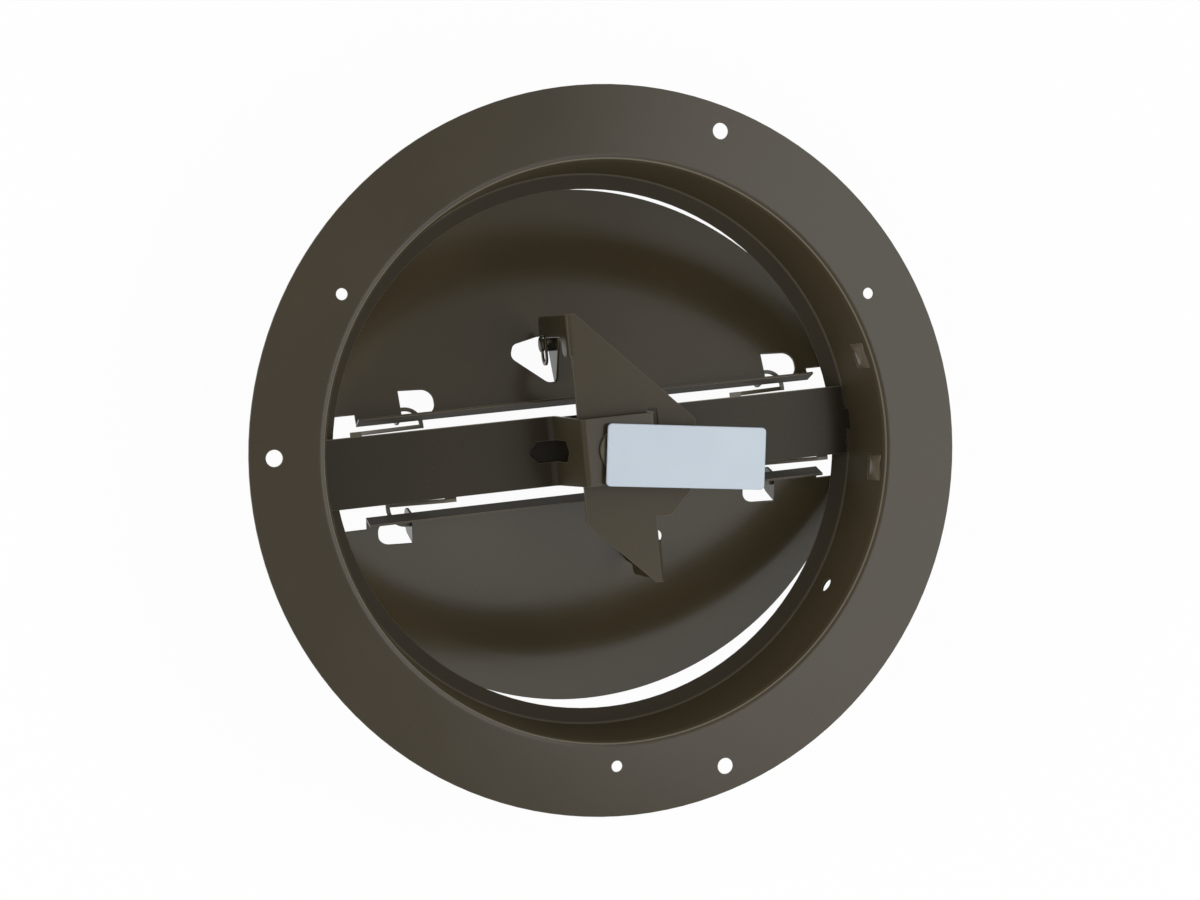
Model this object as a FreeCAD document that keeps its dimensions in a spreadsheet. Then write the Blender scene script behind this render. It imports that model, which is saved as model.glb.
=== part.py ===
"""Butterfly damper for a 200 mm round air duct, all sizes in millimetres.

The origin is on the duct axis at the flange's front face, and +Z points out of the duct,
towards the operating lever.  The two half-round blades and their hinges are laid out in an
assembly frame of their own, which is turned a little about Z and stands a little off the
duct axis, as on the real product.  The bar with its bridge, the screw, the yoke and the
lever are laid out about the pivot, which stands a little off the middle of that frame.
The rest pose has both blades part open.
"""

import FreeCAD, Part
import Sketcher
import math
import os
import re

DRIVING_SIZES = [
    # formed steel
    ("gauge", 0.8),
    # flange and collar
    ("collar_top_radius", 98.9),
    ("collar_taper", 2.1),
    ("collar_bend_radius", 2.2),
    ("collar_foot_depth", 28.3),
    ("flange_width", 26.1),
    ("lip_width", 5.3),
    ("lip_slope", 27.8),
    ("small_hole_radius", 1.98),
    ("small_hole_margin", 17.2),
    ("small_hole_angle", 30.0),
    ("large_hole_radius", 2.83),
    ("large_hole_margin", 8.5),
    ("large_hole_spread", 70.35),
    ("wall_hole_radius", 2.5),
    ("wall_hole_depth", 18.5),
    ("wall_hole_angle", -30.6),
    # two lances in the collar's wall, each a tab that is cut free on three sides
    ("lance_depth", 7.4),
    ("lance_width", 8.6),
    ("lance_length", 7.4),
    ("lance_slit", 0.5),
    ("lance_mouth", 1.3),
    ("upper_lance_angle", 18.6),
    ("lower_lance_angle", -4.7),
    # how the assembly frame stands in the collar, and the pivot in the assembly frame
    ("assembly_turn", 5.0),
    ("assembly_shift_x", 1.1),
    ("assembly_shift_y", 0.6),
    ("bridge_shift_x", -0.85),
    ("bridge_shift_y", 0.4),
    # crossbar
    ("bar_width", 24.4),
    ("bar_depth", 27.2),
    ("bar_end_gap", 1.9),
    ("bar_tab_width", 7.5),
    ("bar_tab_slot_gap", 0.25),
    ("bar_tab_hook", 4.0),
    ("hat_outer_width", 26.8),
    ("hat_height", 8.0),
    ("hat_top_breadth", 22.8),
    ("hat_top_bend", 0.9),
    ("hat_foot_bend", 2.6),
    ("leg_hole_width", 7.5),
    ("leg_hole_reach", 23.0),
    ("leg_hole_top", 10.6),
    ("leg_hole_chamfer", 3.0),
    ("base_length", 56.0),
    ("base_inset", 0.6),
    ("base_corner", 3.0),
    # spring fingers that hinge the blades
    ("finger_width", 1.4),
    ("finger_gap", 0.2),
    ("finger_root_length", 4.0),
    ("finger_hook_radius", 6.0),
    ("finger_tip_length", 1.9),
    ("finger_hook_length", 8.0),
    ("near_finger_length", 23.4),
    ("far_finger_length", 19.4),
    # hinge axes
    ("hinge_reach", 20.0),
    ("hinge_drop", 2.5),
    ("blade_lip_clearance", 0.3),
    ("rest_opening", 19.5),
    ("full_opening", 70.0),
    # blades
    ("blade_overlap", 4.2),
    ("fold_reach", 14.7),
    ("fold_height", 6.3),
    ("notch_reach", 19.0),
    ("near_notch_inset", 12.5),
    ("far_notch_inset", 12.8),
    ("ear_reach", 66.9),
    ("ear_low", 4.2),
    ("ear_high", 6.1),
    ("ear_taper", 0.6),
    ("ear_length", 12.0),
    ("ear_corner", 4.2),
    ("ear_bore_clearance", 0.1),
    # link ear, pin and spacer
    ("link_ear_reach", 9.9),
    ("link_ear_low", 23.5),
    ("link_ear_high", 40.9),
    ("link_ear_height", 14.4),
    ("link_ear_low_flat", 2.5),
    ("link_ear_high_flat", 3.5),
    ("link_ear_slant", 10.5),
    ("link_ear_tip_inset", 1.8),
    ("link_ear_tip_drop", 2.1),
    ("link_ear_corner", 3.0),
    ("link_radius", 18.0),
    ("link_rise", 30.0),
    ("pin_radius", 1.5),
    ("pin_head_radius", 2.8),
    ("pin_head_thickness", 1.2),
    ("pin_tail_radius", 2.2),
    ("pin_tail_thickness", 0.9),
    ("spacer_radius", 2.6),
    ("side_play", 0.1),
    # yoke plate
    ("yoke_rest_height", 0.6),
    ("yoke_bend", 1.0),
    ("yoke_bend_flat", 1.5),
    ("yoke_leg_gap", 0.2),
    ("yoke_apex_reach", 47.1),
    ("yoke_apex_width", 3.4),
    ("yoke_wing_reach", 29.4),
    ("yoke_wing_low", 13.0),
    ("yoke_shoulder_low", 24.6),
    ("yoke_toe_width", 3.2),
    ("leg_window_gap", 0.4),
    ("leg_window_overrun", 2.6),
    ("tab_outer_face", 13.45),
    ("tab_width", 14.3),
    ("tab_shoulder", 7.0),
    ("tab_stem", 7.6),
    ("tab_corner", 3.0),
    ("slot_wall", 1.25),
    ("slot_play", 0.45),
    ("slot_end_play", 0.7),
    ("lobe_flat", 0.06),
    # screw, bush, washers and rings on the pivot
    ("screw_radius", 4.0),
    ("screw_shoulder_radius", 5.6),
    ("screw_below_yoke", 24.0),
    ("running_gap", 0.05),
    ("bush_radius", 5.5),
    ("bush_flange_radius", 7.7),
    ("bush_flange", 0.8),
    ("lever_washer", 0.5),
    ("wave_washer", 0.3),
    ("ring_thickness", 0.8),
    ("ring_width", 1.7),
    ("nut_hole_radius", 6.3),
    ("nut_barrel_radius", 6.9),
    ("nut_flange_radius", 12.0),
    ("nut_flange", 1.2),
    ("nut_length", 6.0),
    ("rivet_radius", 1.0),
    ("rivet_circle", 8.6),
    ("rivet_head_radius", 1.7),
    ("rivet_head", 0.6),
    # lever
    ("lever_length", 56.3),
    ("lever_width", 21.25),
    ("lever_thickness", 1.3),
    ("lever_corner", 1.5),
    ("lever_underside", 10.0),
    ("lever_end", 5.75),
    ("lever_side_shift", 1.8),
    ("lever_angle", -2.5),
]

# Sizes that follow from the driving ones, each usable as a word in an expression.
DERIVED_SIZES = {
    "half_gauge": "gauge / 2",
    "flange_radius": "collar_top_radius + flange_width",
    "collar_foot_radius": "collar_top_radius - collar_taper",
    "lip_radius": "collar_foot_radius - lip_width",
    "small_hole_circle": "flange_radius - small_hole_margin",
    "large_hole_circle": "flange_radius - large_hole_margin",
    "lip_depth": "collar_foot_depth + (collar_foot_radius - lip_radius) * tan(lip_slope)",
    "lip_bottom": "lip_depth + gauge * cos(lip_slope)",
    "blade_depth": "lip_bottom + blade_lip_clearance + gauge / 2",
    "hinge_depth": "blade_depth + hinge_drop",
    "tab_reach": "collar_foot_radius + 2 * gauge + bar_tab_slot_gap",
    "bar_end": "collar_foot_radius - bar_end_gap",
    "pivot_across": "assembly_shift_x + bridge_shift_x",
    "hat_inner_half": "hat_outer_width / 2 - gauge",
    "near_turn_reach": "ear_reach - finger_hook_length",
    "far_turn_reach": "ear_reach + finger_hook_length",
    "near_root_reach": "near_turn_reach + near_finger_length",
    "far_root_reach": "far_turn_reach - far_finger_length",
    "finger_half_diagonal": "sqrt(finger_width * finger_width + gauge * gauge) / 2",
    "blade_radius": "lip_radius + blade_overlap",
    "near_notch_reach": "blade_radius - near_notch_inset",
    "far_notch_reach": "blade_radius - far_notch_inset",
    "fold_edge": "fold_reach - hinge_reach",
    "pin_across": "link_radius * cos(link_rise)",
    "pin_above": "link_radius * sin(link_rise)",
    "rest_pin_depth": "hinge_depth - link_radius * sin(link_rise - rest_opening)",
    "slot_low": "hinge_reach + link_radius * cos(full_opening - link_rise) - slot_end_play",
    "slot_high": "hinge_reach + link_radius + slot_end_play",
    "slot_half": "pin_radius + slot_play",
    "tab_inner_face": "tab_outer_face - gauge",
    "yoke_top": "yoke_rest_height + half_gauge",
    "yoke_underside": "yoke_rest_height - half_gauge",
    "bend_start": "tab_outer_face - gauge - yoke_bend",
    "bend_foot": "yoke_underside - yoke_bend - yoke_bend_flat",
}


def fill_sheet(document):
    """Puts every driving size in the spreadsheet, one named cell each."""
    sheet = document.addObject("Spreadsheet::Sheet", "Sizes")
    for row, (word, size) in enumerate(DRIVING_SIZES, start=1):
        sheet.set(f"A{row}", word)
        sheet.set(f"B{row}", str(size))
        sheet.setAlias(f"B{row}", word)
    document.recompute()
    return sheet


doc = FreeCAD.newDocument("ButterflyDamper")
fill_sheet(doc)
reckoner = doc.addObject("App::FeaturePython", "Reckoner")
reckoner.addProperty("App::PropertyFloat", "Answer")

DRIVING_WORDS = {word for word, size in DRIVING_SIZES}
WORD = re.compile(r"[a-z][a-z_]*")

# Two places this near each other are the same place.
CLOSE = 0.01

# The bend at the collar's mouth turns in flats, three in front and two at the back, which
# keep within 0.15 mm of a round bend.
FRONT_TURNS = (0, 30, 60, 90)
BACK_TURNS = (90, 45, 0)

# The two corners of the nut's flange that are riveted.
RIVET_TURNS = ("45", "225")


def linked(text):
    """Turns an expression in plain size words into one on the sheet's cells."""
    def replace(found):
        word = found.group()
        if word in DERIVED_SIZES:
            return "(" + linked(DERIVED_SIZES[word]) + ")"
        if word in DRIVING_WORDS:
            return "Sizes." + word
        return word
    return WORD.sub(replace, text)


def number(text):
    """The value that an expression has now."""
    reckoner.setExpression("Answer", linked(text))
    reckoner.recompute()
    return reckoner.Answer


def bind(thing, name, text):
    thing.setExpression(name, linked(text))


def move_to(thing, at):
    """Ties the object's position to three expressions."""
    for axis, text in zip("xyz", at):
        bind(thing, "Placement.Base." + axis, text)


# The turn that lays an upright cylinder along X.
ALONG_X = FreeCAD.Rotation(FreeCAD.Vector(0, 1, 0), 90)


def about_z(angle):
    """The turn about Z by the angle that an expression gives."""
    return FreeCAD.Rotation(FreeCAD.Vector(0, 0, 1), number(angle))


def box(name, size, at):
    """A block from its low corner, with its size along X, Y and Z."""
    block = doc.addObject("Part::Box", name)
    for side, text in zip(("Length", "Width", "Height"), size):
        bind(block, side, text)
    move_to(block, at)
    return block


def cylinder(name, radius, height, at, rotation=None, sweep=360):
    """A cylinder from the middle of its low end."""
    rod = doc.addObject("Part::Cylinder", name)
    rod.Angle = sweep
    if rotation:
        rod.Placement = FreeCAD.Placement(FreeCAD.Vector(), rotation)
    bind(rod, "Radius", radius)
    bind(rod, "Height", height)
    move_to(rod, at)
    return rod


def prism(name, sides, radius, height, at):
    """An upright prism with a regular outline, one side of which faces -Y."""
    bar = doc.addObject("Part::Prism", name)
    bar.Polygon = sides
    bar.Placement = FreeCAD.Placement(FreeCAD.Vector(), about_z(f"-90 + 180 / {sides}"))
    bind(bar, "Circumradius", radius)
    bind(bar, "Height", height)
    move_to(bar, at)
    return bar


def joined(name, pieces):
    union = doc.addObject("Part::MultiFuse", name)
    union.Shapes = pieces
    union.Refine = True
    return union


def cut_away(name, base, tools):
    """The base without the tools."""
    tool = tools[0] if len(tools) == 1 else joined(name + "_tools", tools)
    rest = doc.addObject("Part::Cut", name)
    rest.Base = base
    rest.Tool = tool
    rest.Refine = True
    return rest


def new_body(name):
    return doc.addObject("PartDesign::Body", name)


def origin_plane(body, role):
    return next(thing for thing in body.Origin.OriginFeatures if thing.Role == role)


def new_sketch(body, name, role, lift="0"):
    """A sketch on one of the body's origin planes, lifted along the plane's normal."""
    sketch = body.newObject("Sketcher::SketchObject", name)
    sketch.AttachmentSupport = [(origin_plane(body, role), "")]
    sketch.MapMode = "FlatFace"
    bind(sketch, "AttachmentOffset.Base.z", lift)
    return sketch


def pin_point(sketch, curve, end, across, up):
    """Ties a point of a sketch to its two coordinates."""
    for kind, text in (("DistanceX", across), ("DistanceY", up)):
        place = Sketcher.Constraint(kind, -1, 1, curve, end, number(text))
        index = sketch.addConstraint(place)
        bind(sketch, f"Constraints[{index}]", text)


def draw_polygon(sketch, corners):
    """A closed outline of straight lines through the given corners."""
    points = [FreeCAD.Vector(number(across), number(up), 0) for across, up in corners]
    first = sketch.GeometryCount
    count = len(points)
    for index in range(count):
        sketch.addGeometry(Part.LineSegment(points[index], points[(index + 1) % count]))
    for index in range(count):
        after = first + (index + 1) % count
        sketch.addConstraint(Sketcher.Constraint("Coincident", first + index, 2, after, 1))
    for index, (across, up) in enumerate(corners):
        pin_point(sketch, first + index, 1, across, up)


def draw_circle(sketch, across, up, radius):
    centre = FreeCAD.Vector(number(across), number(up), 0)
    circle = Part.Circle(centre, FreeCAD.Vector(0, 0, 1), number(radius))
    curve = sketch.addGeometry(circle)
    pin_point(sketch, curve, 3, across, up)
    index = sketch.addConstraint(Sketcher.Constraint("Radius", curve, number(radius)))
    bind(sketch, f"Constraints[{index}]", radius)


def pad(body, sketch, length):
    feature = body.newObject("PartDesign::Pad", sketch.Name + "_pad")
    feature.Profile = sketch
    bind(feature, "Length", length)
    doc.recompute()
    return feature


def pocket(body, sketch, length):
    """Cuts against the sketch's normal, and makes sure that something was cut."""
    before = body.Shape.Volume
    feature = body.newObject("PartDesign::Pocket", sketch.Name + "_pocket")
    feature.Profile = sketch
    bind(feature, "Length", length)
    doc.recompute()
    if body.Shape.Volume >= before:
        raise RuntimeError(sketch.Name + " cuts nothing")
    return feature


def rounded(body, base, name, radius, chosen):
    """Rounds the edges of the base that the test chooses."""
    edges = [f"Edge{index}" for index, edge in enumerate(base.Shape.Edges, start=1) if chosen(edge)]
    if not edges:
        raise RuntimeError(name + " finds no edge")
    feature = body.newObject("PartDesign::Fillet", name)
    feature.Base = (base, edges)
    bind(feature, "Radius", radius)
    doc.recompute()
    return feature


def is_upright(edge, axis, places):
    """True for a straight edge along the axis (0, 1 or 2) at one of the places."""
    if not isinstance(edge.Curve, Part.Line):
        return False
    ends = [vertex.Point for vertex in edge.Vertexes]
    across = [index for index in range(3) if index != axis]
    for place in places:
        near = [abs(end[index] - where) < CLOSE for end in ends for index, where in zip(across, place)]
        if all(near):
            return True
    return False


def assembly_seat(across="0", along="0", height="0", half_turn=0, tilt=0):
    """Where something at a point of the assembly frame stands in the part's own frame.

    half_turn is 180 for what belongs to the lower blade, and tilt turns it about its own X.
    """
    turn = about_z("assembly_turn")
    half = about_z(str(half_turn))
    point = FreeCAD.Vector(number(across), number(along), number(height))
    shift = FreeCAD.Vector(number("assembly_shift_x"), number("assembly_shift_y"), 0)
    place = turn.multVec(half.multVec(point) + shift)
    about_x = FreeCAD.Rotation(FreeCAD.Vector(1, 0, 0), tilt)
    return FreeCAD.Placement(place, turn.multiply(half).multiply(about_x))


def bridge_seat():
    """Where the pivot's own frame stands in the part's frame."""
    return assembly_seat("bridge_shift_x", "bridge_shift_y")


subparts = []


def keep(label, thing, seat=None):
    """Names a finished sub-part and puts it in its place."""
    thing.Label = label
    if seat:
        thing.Placement = seat
    subparts.append(thing)


def mouth_corners(radius, turns):
    """Points of the bend at the collar's mouth, at some turns down from the flange."""
    middle = "collar_top_radius + collar_bend_radius"
    return [(f"{middle} - {radius} * sin({turn})", f"{radius} * cos({turn}) - collar_bend_radius")
            for turn in turns]


def make_flange_collar():
    """Flat flange, drawn down into a slightly tapered collar with an inward lip."""
    body = new_body("Collar")
    profile = new_sketch(body, "Collar_profile", "XZ_Plane")
    foot_back = "-collar_foot_depth - gauge * (1 - sin(lip_slope)) / cos(lip_slope)"
    front = mouth_corners("collar_bend_radius", FRONT_TURNS)
    back = mouth_corners("(collar_bend_radius - gauge)", BACK_TURNS)
    draw_polygon(profile, [("flange_radius", "0")] + front + [
        ("collar_foot_radius", "-collar_foot_depth"),
        ("lip_radius", "-lip_depth"),
        ("lip_radius + gauge * sin(lip_slope)", "-lip_bottom"),
        ("collar_foot_radius + gauge", foot_back),
    ] + back + [("flange_radius", "-gauge")])
    turned = body.newObject("PartDesign::Revolution", "Collar_turned")
    turned.Profile = profile
    turned.ReferenceAxis = (origin_plane(body, "Z_Axis"), [""])
    turned.Angle = 360
    doc.recompute()

    small = new_sketch(body, "Small_hole", "XY_Plane")
    draw_circle(small, "small_hole_circle * cos(small_hole_angle)",
                "small_hole_circle * sin(small_hole_angle)", "small_hole_radius")
    first = pocket(body, small, "2 * gauge")
    holes = body.newObject("PartDesign::PolarPattern", "Small_holes")
    holes.Originals = [first]
    holes.Axis = (origin_plane(body, "Z_Axis"), [""])
    holes.Angle = 360
    holes.Occurrences = 3
    body.Tip = holes
    doc.recompute()

    large = new_sketch(body, "Large_holes", "XY_Plane")
    for angle in ("180", "large_hole_spread", "-large_hole_spread"):
        draw_circle(large, f"large_hole_circle * cos({angle})",
                    f"large_hole_circle * sin({angle})", "large_hole_radius")
    pocket(body, large, "2 * gauge")

    wall_hole = cylinder("Wall_hole", "wall_hole_radius", "collar_taper + 4 * gauge",
                         ("(collar_foot_radius - 2 * gauge) * cos(wall_hole_angle)",
                          "(collar_foot_radius - 2 * gauge) * sin(wall_hole_angle)",
                          "-wall_hole_depth"), about_z("wall_hole_angle").multiply(ALONG_X))
    slots = box("Bar_slots",
                ("2 * tab_reach + 4 * gauge", "bar_tab_width + 2 * bar_tab_slot_gap",
                 "gauge + 2 * bar_tab_slot_gap"),
                ("-tab_reach - 2 * gauge", "-bar_tab_width / 2 - bar_tab_slot_gap",
                 "-bar_depth - half_gauge - bar_tab_slot_gap"))
    core = cylinder("Slot_core", "collar_foot_radius - lip_width / 2", "2 * collar_foot_depth",
                    ("0", "0", "-2 * collar_foot_depth"))
    bar_slots = cut_away("Bar_slot_pair", slots, [core])
    bar_slots.Placement = assembly_seat("-assembly_shift_x", "bridge_shift_y")
    openings = [wall_hole, bar_slots]
    for word in ("upper", "lower"):
        lance = make_lance(word.title() + "_lance")
        lance.Placement = FreeCAD.Placement(FreeCAD.Vector(), about_z(word + "_lance_angle"))
        openings.append(lance)
    keep("flange_collar", cut_away("Flange_collar", body, openings))


def make_lance(name):
    """The slits on three sides of a tab in the collar's wall, at the wall's +X side."""
    start = "collar_foot_radius - 2 * gauge"
    through = "collar_taper + 4 * gauge"
    deep_edge = "-lance_depth - lance_width / 2 - lance_slit"
    front_edge = "-lance_depth + lance_width / 2"
    return joined(name, [
        box(name + "_deep", (through, "lance_length", "lance_slit"),
            (start, "-lance_length / 2", deep_edge)),
        box(name + "_front", (through, "lance_length", "lance_slit"),
            (start, "-lance_length / 2", front_edge)),
        box(name + "_mouth", (through, "lance_mouth", "lance_width + 2 * lance_slit"),
            (start, "lance_length / 2", deep_edge)),
    ])


def make_finger(name, root, turn, ear, side):
    """One spring finger: out of the bar's edge, down to the hinge, round and through the ear.

    Drawn in the assembly frame.  The finger runs along +X for side 1 and -X for side -1,
    and its tip points back.
    """
    bend = f"{turn} - finger_width"
    edge = f"(bar_width / 2 + ({side}) * bridge_shift_y)"
    body = new_body(name + "_run")
    run = new_sketch(body, name + "_run_profile", "XZ_Plane",
                     f"-{edge} - finger_gap - finger_width")
    draw_polygon(run, [
        (f"{root} - finger_root_length", "-bar_depth + half_gauge"),
        (root, "-bar_depth + half_gauge"),
        (bend, "-hinge_depth + half_gauge"),
        (turn, "-hinge_depth + half_gauge"),
        (turn, "-hinge_depth - half_gauge"),
        (bend, "-hinge_depth - half_gauge"),
        (root, "-bar_depth - half_gauge"),
        (f"{root} - finger_root_length", "-bar_depth - half_gauge"),
    ])
    pad(body, run, "finger_width")
    root_block = box(name + "_root", ("finger_root_length", "2 * finger_gap + finger_width", "gauge"),
                     (f"{root} - finger_root_length", f"{edge} - finger_gap",
                      "-bar_depth - half_gauge"))
    centre = (f"{turn} - finger_width / 2 - finger_hook_radius",
              "hinge_reach - finger_hook_radius", "-hinge_depth - half_gauge")
    outside = cylinder(name + "_hook_outside", "finger_hook_radius + finger_width / 2", "gauge",
                       centre, sweep=90)
    inside = cylinder(name + "_hook_inside", "finger_hook_radius - finger_width / 2",
                      "3 * gauge", centre[:2] + ("-hinge_depth - 3 * half_gauge",))
    hook = cut_away(name + "_hook", outside, [inside])
    heel = box(name + "_heel", ("finger_width", f"{centre[1]} - {edge} - finger_gap", "gauge"),
               (bend, f"{edge} + finger_gap", "-hinge_depth - half_gauge"))
    tip_end = f"{ear} - gauge - finger_tip_length"
    tip = box(name + "_tip", (f"{centre[0]} - ({tip_end})", "finger_width", "gauge"),
              (tip_end, "hinge_reach - finger_width / 2", "-hinge_depth - half_gauge"))
    finger = joined(name, [body, root_block, heel, hook, tip])
    shift = FreeCAD.Vector(number("-bridge_shift_x"), number("-bridge_shift_y"), 0)
    finger.Placement = FreeCAD.Placement(shift, about_z("0" if side > 0 else "180"))
    return finger


def make_crossbar():
    """Strip across the collar with a hat-shaped bridge and four spring fingers."""
    body = new_body("Bar")
    profile = new_sketch(body, "Bar_profile", "XZ_Plane", "-bar_width / 2")
    low, high = "-bar_depth - half_gauge", "-bar_depth + half_gauge"
    left, right = "-tab_reach - pivot_across", "tab_reach - pivot_across"
    inner, outer = "hat_inner_half", "hat_outer_width / 2"
    draw_polygon(profile, [
        (left, low),
        ("-" + inner, low),
        ("-" + inner, "hat_height - gauge"),
        (inner, "hat_height - gauge"),
        (inner, low),
        (right, low),
        (right, high),
        (outer, high),
        (outer, "hat_height"),
        ("-hat_outer_width / 2", "hat_height"),
        ("-hat_outer_width / 2", high),
        (left, high),
    ])
    strip = pad(body, profile, "bar_width")
    inner_x, outer_x = number(inner), number(outer)
    under, over = number(low), number(high)
    top, ceiling = number("hat_height"), number("hat_height - gauge")
    bends = [
        ("Hat_foot_inside", "hat_foot_bend", [(-outer_x, over), (outer_x, over)]),
        ("Hat_foot_outside", "hat_foot_bend + gauge", [(-inner_x, under), (inner_x, under)]),
        ("Hat_top_inside", "hat_top_bend", [(-inner_x, ceiling), (inner_x, ceiling)]),
        ("Hat_top_outside", "hat_top_bend + gauge", [(-outer_x, top), (outer_x, top)]),
    ]
    for name, radius, places in bends:
        strip = rounded(body, strip, name, radius,
                        lambda edge, places=places: is_upright(edge, 1, places))

    pivot = new_sketch(body, "Pivot_hole", "XY_Plane", "hat_height")
    draw_circle(pivot, "0", "0", "bush_radius")
    pocket(body, pivot, "2 * gauge")

    shoulders = []
    margin = "(bar_width - bar_tab_width) / 2"
    for name, start in (("Left_shoulder", "-tab_reach - pivot_across"),
                        ("Right_shoulder", "bar_end - pivot_across")):
        for edge, base in (("low", "-bar_width / 2"), ("high", "bar_tab_width / 2")):
            shoulders.append(box(f"{name}_{edge}", ("tab_reach - bar_end", margin, "3 * gauge"),
                                 (start, base, "-bar_depth - 3 * half_gauge")))
    slot_half = "leg_hole_width / 2"
    flat_body = new_body("Leg_hole_flat")
    flat = new_sketch(flat_body, "Leg_hole_flat_outline", "XY_Plane", "-bar_depth - gauge")
    draw_polygon(flat, [
        ("-hat_inner_half", slot_half),
        ("-leg_hole_reach + leg_hole_chamfer", slot_half),
        ("-leg_hole_reach", f"{slot_half} - leg_hole_chamfer"),
        ("-leg_hole_reach", f"leg_hole_chamfer - {slot_half}"),
        ("-leg_hole_reach + leg_hole_chamfer", "-" + slot_half),
        ("-hat_inner_half", "-" + slot_half),
    ])
    pad(flat_body, flat, "4 * gauge")
    leg_body = new_body("Leg_hole_upright")
    leg = new_sketch(leg_body, "Leg_hole_upright_outline", "YZ_Plane",
                     "-hat_outer_width / 2 - 2 * gauge")
    draw_polygon(leg, [
        (slot_half, "-bar_depth - gauge"),
        (slot_half, "-leg_hole_top - leg_hole_chamfer"),
        (f"{slot_half} - leg_hole_chamfer", "-leg_hole_top"),
        (f"leg_hole_chamfer - {slot_half}", "-leg_hole_top"),
        ("-" + slot_half, "-leg_hole_top - leg_hole_chamfer"),
        ("-" + slot_half, "-bar_depth - gauge"),
    ])
    pad(leg_body, leg, "4 * gauge")
    hat_sides = [make_hat_side("Hat_side_high", ""), make_hat_side("Hat_side_low", "-")]
    bar = cut_away("Bar_blank", body, shoulders + hat_sides + [flat_body, leg_body])

    pieces = [bar]
    for name, start in (("Left_clinch", "-tab_reach - pivot_across"),
                        ("Right_clinch", "tab_reach - gauge - pivot_across")):
        pieces.append(box(name, ("gauge", "bar_tab_width", "bar_tab_hook + gauge"),
                          (start, "-bar_tab_width / 2", "-bar_depth - half_gauge - bar_tab_hook")))
    for word, side in (("Upper", 1), ("Lower", -1)):
        pieces.append(make_finger(word + "_near_finger", "-near_root_reach",
                                  "-near_turn_reach", "-ear_reach", side))
        pieces.append(make_finger(word + "_far_finger", "far_root_reach",
                                  "far_turn_reach", "ear_reach", side))
    keep("crossbar", joined("Crossbar", pieces), bridge_seat())


def make_hat_side(name, sign):
    """What is cut off one side of the hat, whose legs narrow towards the top."""
    body = new_body(name)
    outline = new_sketch(body, name + "_outline", "YZ_Plane", "-hat_outer_width / 2 - gauge")
    foot = "-bar_depth + half_gauge + hat_foot_bend"
    draw_polygon(outline, [
        (sign + "bar_width / 2", foot),
        (sign + "(bar_width / 2 + gauge)", foot),
        (sign + "(bar_width / 2 + gauge)", "hat_height + gauge"),
        (sign + "hat_top_breadth / 2", "hat_height + gauge"),
        (sign + "hat_top_breadth / 2", "hat_height"),
    ])
    pad(body, outline, "hat_outer_width + 2 * gauge")
    return body


def make_bridge_base():
    """Flat plate under the hat's feet, seen dark through the hole in the hat's leg."""
    body = new_body("Bridge_base")
    outline = new_sketch(body, "Base_outline", "XY_Plane", "-bar_depth - half_gauge - gauge")
    half_length, half_width = "base_length / 2", "(bar_width / 2 - base_inset)"
    draw_polygon(outline, [
        (half_length, half_width),
        ("-" + half_length, half_width),
        ("-" + half_length, "-" + half_width),
        (half_length, "-" + half_width),
    ])
    plate = pad(body, outline, "gauge")
    across, along = number(half_length), number(half_width)
    places = [(x, y) for x in (-across, across) for y in (-along, along)]
    rounded(body, plate, "Base_corners", "base_corner", lambda edge: is_upright(edge, 2, places))
    keep("bridge_base", body, bridge_seat())


def teardrop(body, name, role, lift, fold="0", upright=False):
    """Outline of the link ear, which is also the window that it is folded up from.

    Distances run from the fold towards the tip, and from the low to the high side.
    """
    low, high, length = "link_ear_low - hinge_reach", "link_ear_high - hinge_reach", "link_ear_height"
    corners = [
        ("0", low),
        ("link_ear_low_flat", low),
        (length, f"{low} + link_ear_slant"),
        (f"{length} - link_ear_tip_inset", f"{high} - link_ear_tip_drop"),
        ("link_ear_high_flat", high),
        ("0", high),
    ]
    sketch = new_sketch(body, name, role, lift)
    if upright:
        corners = [(across, f"hinge_drop + ({away})") for away, across in corners]
    else:
        corners = [(f"{fold} - ({away})", across) for away, across in corners]
    draw_polygon(sketch, corners)
    shape = pad(body, sketch, "gauge" if upright else "4 * gauge")
    places = [(number(across), number(up)) for across, up in corners[1:4]]
    axis = 0 if upright else 2
    return rounded(body, shape, name + "_corners", "link_ear_corner",
                   lambda edge: is_upright(edge, axis, places))


def make_ear_form(name, role, lift, corners, depth):
    """A plate with the outline of a hinge ear, whose second and third corner are rounded."""
    body = new_body(name)
    outline = new_sketch(body, name + "_outline", role, lift)
    draw_polygon(outline, corners)
    plate = pad(body, outline, depth)
    places = [(number(across), number(up)) for across, up in corners[1:3]]
    axis = 0 if role == "YZ_Plane" else 2
    rounded(body, plate, name + "_corners", "ear_corner",
            lambda edge: is_upright(edge, axis, places))
    return body


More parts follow.
